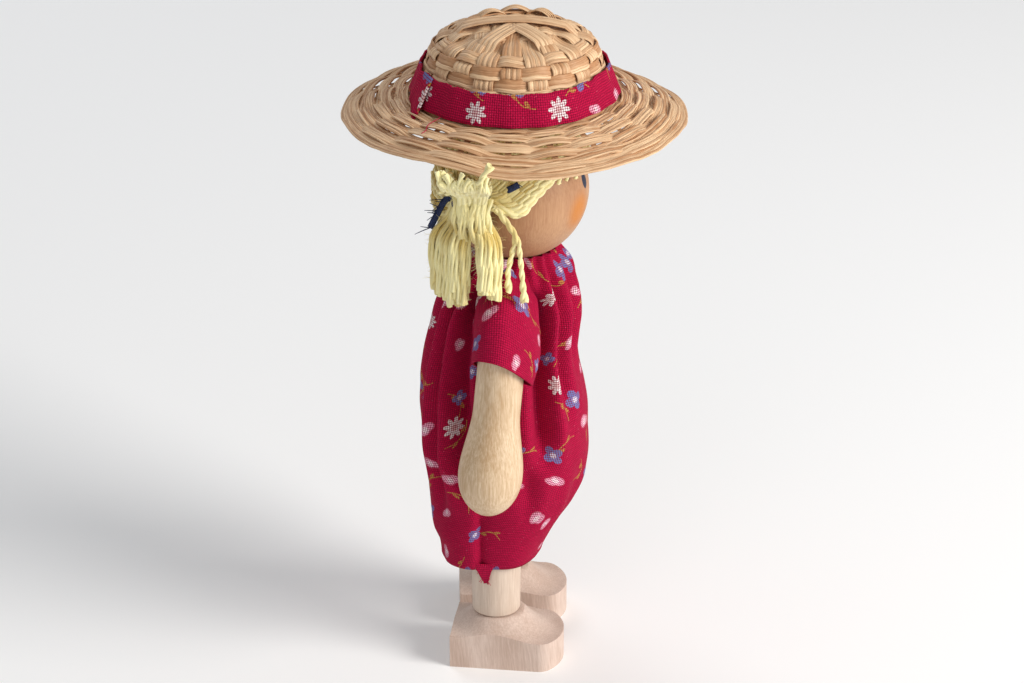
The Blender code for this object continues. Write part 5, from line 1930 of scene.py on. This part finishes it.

# %% [markdown]
# On the doll's right side the brim presses some cut ends outwards, up to its edge and just over it.
# Two single strands hang past the cheek and one goes up over the brim. They are led through a few
# stops each.

# %% Splayed ends and single strands
SPLAYED, SPLAY_STEPS = 28, 18
SPLAY_GIRTH = [1.0] * 15 + [1.03, 1.1, 1.18, 1.25]
SINGLE_STEPS = 20
SINGLE_GIRTH = [0.92] * 17 + [1.0, 1.15, 1.35, 1.5]
SINGLES = [
    [
        (17.2, 3.2, 102.4), (18.0, 0.7, 99.4), (18.3, -0.9, 96.6),
        (18.4, -0.3, 93.0), (18.6, 0.4, 89.6), (18.9, 0.2, 85.6),
    ],
    [
        (17.4, 2.8, 102.2), (18.3, 0.2, 99.2), (18.7, -1.4, 96.4),
        (18.7, -1.9, 93.0), (19.0, -2.3, 89.0), (19.8, -2.8, 83.9),
    ],
    [
        (20.5, 7.4, 106.5), (25.0, 7.0, 109.6), (29.8, 6.2, 111.8),
        (34.0, 5.2, 113.6), (35.0, 4.0, 116.0), (34.9, 2.7, 117.8),
    ],
]


def led(stops, side, steps):
    """Points along a smooth curve through stops, which are given for the left side."""
    points = [flow(stops, share) for share in shares(steps)]
    return [Vector((side * point.x, point.y, point.z)) for point in points]


def splayed(side, seed):
    rng = random.Random(seed)
    paths = []
    for index in range(SPLAYED):
        share = (index + 0.5) / SPLAYED
        across = mix(3.4, 12.6, share) + rng.uniform(-0.5, 0.5)
        edge = math.sqrt(BRIM_RADIUS**2 - across**2) + rng.uniform(0.6, 1.5)
        tip = rng.uniform(113.2, 115.8)
        stops = [
            (19.6, mix(4.6, 9.4, share), TIE_Z),
            (22.6, mix(4.2, 10.0, share), 107.0 + rng.uniform(-0.6, 0.6)),
            (mix(22.6, edge, 0.5), mix(3.6, 11.4, share), 109.8 + rng.uniform(-0.6, 0.6)),
            (edge - 1.0, across, 111.8),
            (edge + 0.2, across + rng.uniform(-0.4, 0.4), mix(111.8, tip, 0.6)),
            (edge + 0.1, across + rng.uniform(-0.9, 0.9), tip),
        ]
        points = led(stops, side, SPLAY_STEPS)
        paths.append({"points": points, "tone": rng.uniform(0.6, 1.0), "girth": SPLAY_GIRTH})
    return paths


def singles(side):
    paths = []
    for number, stops in enumerate(SINGLES):
        points = led(stops, side, SINGLE_STEPS)
        paths.append({"points": points, "tone": 0.85 - 0.1 * number, "girth": SINGLE_GIRTH})
    return paths


print("splayed ends:", SPLAYED, "single strands:", len(SINGLES))

# %% [markdown]
# Wool never ends at a clean edge: short loose fibres stand off the strands. They ride on the head
# with the rest.

# %% Fuzz and pigtail pieces
FUZZ = 3400
FUZZ_GIRTH = [1, 0.9, 0.7, 0.4]
FUZZ_SIZES = {"Radius": 0.03 * MM}
FIBRE_SHARES = (0, 0.35, 0.7, 1)
BRUSHED_SIZES = {"Ply Radius": 0.33 * MM, "Twist Pitch": 11.0 * MM, "Spacing": 0.6 * MM}


def loose_fibre(start, way, bend, length):
    """Points of a short fibre that leaves its start in one way and bends off."""
    return [start + (way * share + bend * share * share) * length for share in FIBRE_SHARES]


def fuzz(strands, seed):
    rng = random.Random(seed)
    fibres = []
    for _ in range(FUZZ):
        points = rng.choice(strands)["points"]
        place = rng.randrange(1, len(points) - 1)
        run = (points[place + 1] - points[place - 1]).normalized()
        away = Vector((rng.gauss(0, 1), rng.gauss(0, 1), rng.gauss(0, 1))).normalized()
        away = (away - run * away.dot(run) * 0.6).normalized()
        length = rng.uniform(0.7, 1.7)
        bend = run * rng.uniform(-0.5, 0.7)
        fibre = loose_fibre(points[place] + away * 0.45, away, bend, length)
        fibres.append({"points": fibre, "tone": rng.uniform(0.6, 1), "girth": FUZZ_GIRTH})
    return fibres


for word, side in SIDES.items():
    strands = hanging(side, 11) + standing(side, 23) + knotted(side, 37)
    pieces = [grow("pigtail_strands_" + word, strands, yarn, BRUSHED_SIZES, yarn_finish)]
    if word == "right":
        pieces.append(grow("pigtail_splayed_" + word, splayed(side, 61), yarn, BRUSHED_SIZES, yarn_finish))
        pieces.append(grow("pigtail_singles_" + word, singles(side), yarn, YARN_SIZES, yarn_finish))
    pieces.append(grow("pigtail_fuzz_" + word, fuzz(strands, 53), fibre_tree, FUZZ_SIZES, yarn_finish))
    for piece in pieces:
        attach(piece, "head")
        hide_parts("pigtail_" + word)
        if "splayed" not in piece.name:
            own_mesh(piece)

# %% [markdown]
# ## Ribbons
#
# Each bunch is tied with a strip of dark blue ribbon. A modelled knot would be lost in the yarn: what
# shows is one end that hangs behind with its weft frayed out, and a short one in front. The splint
# tree makes the strips, and the fibre tree makes the frayed threads.

# %% Ribbon strips
# Both ends as points of the left side, in millimetres.
END_BEHIND = [(15.3, 10.5, 103.0), (15.1, 12.3, 103.0), (14.9, 13.9, 100.2), (14.6, 15.5, 96.8)]
END_FRONT = [
    (17.0, 5.0, 103.2), (15.6, 3.2, 103.8), (14.9, 1.7, 104.6), (16.1, 0.2, 105.6), (15.9, -1.5, 106.5),
]
LOOP_STEPS, END_STEPS = 32, 14
FRAYED_BEHIND, FRAYED_FRONT, FRAYED_FROM = 11, 5, 5
FRAYED_GIRTH = [1, 1, 0.8, 0.5]
LEFT_FRAY = 0.45
RIBBON_SIZES = {"Width": 1.3 * MM, "Thickness": 0.28 * MM}
RIBBON_THREAD = {"Radius": 0.1 * MM}
navy = make_plain_cord("navy_ribbon", "2A3A66", "0E1530")


def ribbon_loop(side):
    turns = around(LOOP_STEPS)
    points = [at_tie(side, 3.5 * math.sin(turn), 2.9 + 2.7 * math.cos(turn), TIE_Z) for turn in turns]
    facing = [tie_place(side, math.cos(turn), math.sin(turn)) for turn in turns]
    return {"points": points, "facing": facing, "closed": True}


def ribbon_threads(side, behind, front):
    rng = random.Random(71)
    threads = []
    longest = 1 if side < 0 else LEFT_FRAY
    for points, count, ahead in ((behind, FRAYED_BEHIND, 1), (front, FRAYED_FRONT, -1)):
        for _ in range(count):
            spot = points[rng.randrange(FRAYED_FROM, END_STEPS + 1)]
            way = Vector((side * rng.uniform(-0.1, 0.25), ahead, rng.uniform(-0.6, 0.7)))
            length = rng.uniform(1.4, 3.2) * longest if points is behind else rng.uniform(0.4, 0.9)
            drop = Vector((0, 0, rng.uniform(-0.3, 0.2)))
            threads.append({"points": loose_fibre(spot, way, drop, length), "girth": FRAYED_GIRTH})
    return threads


for word, side in SIDES.items():
    behind, front = (led(stops, side, END_STEPS) for stops in (END_BEHIND, END_FRONT))
    outward = [tie_place(side, 1.0)] * (END_STEPS + 1)
    strips = [ribbon_loop(side)] + [{"points": points, "facing": outward} for points in (behind, front)]
    strip = grow("ribbon_strip_" + word, strips, splint, RIBBON_SIZES, navy)
    threads = ribbon_threads(side, behind, front)
    frayed = grow("ribbon_threads_" + word, threads, fibre_tree, RIBBON_THREAD, navy)
    for piece in (strip, frayed):
        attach(piece, "head")
        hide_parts("ribbon_" + word)

# %% [markdown]
# ## Loose threads
#
# Torn cotton frays. A corner of the side seam hangs below the hem on the right, with threads of its
# own. It could be drawn into the dress sheet, but a small sheet of its own can hang free of the
# hem's turned edge. The same fibre tree that made the fuzz makes its threads.

# %% Frayed corner
CORNER_Y = 5.6
CORNER_REACH = 3.0
CORNER_LEVELS, CORNER_COLUMNS = 14, 12
CORNER_TOP, CORNER_TIP = 2.4, 0.35
CORNER_RISE, CORNER_DROP = 1.6, 4.5
CORNER_THREADS, CORNER_FRAYED_FROM = 14, 6
CORNER_EDGES = (0, 1, CORNER_COLUMNS - 1, CORNER_COLUMNS)


def hem_place(deep):
    """Point of the hem on the right side at a place along the doll's depth, found by halving."""
    low, high = math.pi / 2, 3 * math.pi / 2
    for _ in range(40):
        middle = (low + high) / 2
        low, high = (middle, high) if dress_point(middle, HEM_Z)[1] > deep else (low, middle)
    return Vector(dress_point(low, HEM_Z))


def corner_row(level, first, last):
    share = level / CORNER_LEVELS
    row = []
    for column in range(CORNER_COLUMNS + 1):
        across = 2 * column / CORNER_COLUMNS - 1
        ragged = 0.35 * wander(column * 0.9, level * 0.6, 3.1) * share
        half = mix(CORNER_TOP, CORNER_TIP, share**0.8) + ragged
        place = CORNER_Y - 0.5 * share + across * half
        out = mix(first.x, last.x, (place - CORNER_Y + CORNER_REACH) / (2 * CORNER_REACH))
        height = HEM_Z + CORNER_RISE - CORNER_DROP * share + 0.3 * ragged
        row.append((out + 0.1 + 0.3 * share, place, height))
    return row


def corner_threads(rows):
    rng = random.Random(83)
    threads = []
    for _ in range(CORNER_THREADS):
        row = rows[rng.randrange(CORNER_FRAYED_FROM, CORNER_LEVELS + 1)]
        spot = Vector(row[rng.choice(CORNER_EDGES)])
        way = Vector((rng.uniform(-0.5, 0.1), rng.uniform(-0.7, 0.7), -0.7))
        length = rng.uniform(0.4, 0.9)
        bend = Vector((0, rng.uniform(-0.4, 0.4), 0))
        threads.append({"points": loose_fibre(spot, way, bend, length)})
    return threads


ends = hem_place(CORNER_Y - CORNER_REACH), hem_place(CORNER_Y + CORNER_REACH)
print("corner hangs between, in mm:", [[round(part, 1) for part in end] for end in ends])

# %% Corner pieces
CORNER_WALL = 0.25 * MM
CORNER_CLOTH, CORNER_CLOTH_STEP = 80.5, 0.4
CORNER_CLOTH_LOW, CORNER_CLOTH_LENGTH = 54.3, 4.3
HEM_THREAD = {"Radius": 0.07 * MM}

rows = [corner_row(level, *ends) for level in range(CORNER_LEVELS + 1)]
columns = [CORNER_CLOTH + column * CORNER_CLOTH_STEP for column in range(CORNER_COLUMNS + 1)]
lengths = [CORNER_CLOTH_LOW + CORNER_CLOTH_LENGTH * share for share in shares(CORNER_LEVELS)]
hem_corner = cloth_sheet("hem_corner", rows, [columns] * len(rows), lengths, False)
thicken(hem_corner, "cotton_thickness", CORNER_WALL, 0)
hem_threads = grow("hem_threads", corner_threads(rows), fibre_tree, HEM_THREAD, loose_thread)
for piece in (hem_corner, hem_threads):
    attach(piece, "body")

# %% [markdown]
# One thread of the hat's band has come loose and lies in a wavy line over the brim.

# %% Band thread
THREAD_STEPS = 10
BAND_THREAD = {"Radius": 0.11 * MM}


def on_brim(degrees, radius, above):
    """Point above the brim's upper side."""
    row = BRIM_ROWS * (BRIM_RADIUS - radius) / (BRIM_RADIUS - CROWN_RADIUS) - 0.5
    return hat_point(math.radians(degrees), row, above)[0]


stray = []
for step in range(THREAD_STEPS):
    above = 0.9 + 0.25 * math.sin(step * 0.9)
    stray.append(on_brim(139 + 0.5 * step + 1.2 * math.sin(step), 20.2 + 0.8 * step, above))
band_thread = grow("band_thread", [{"points": stray}], fibre_tree, BAND_THREAD, loose_thread)
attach(band_thread, "head")
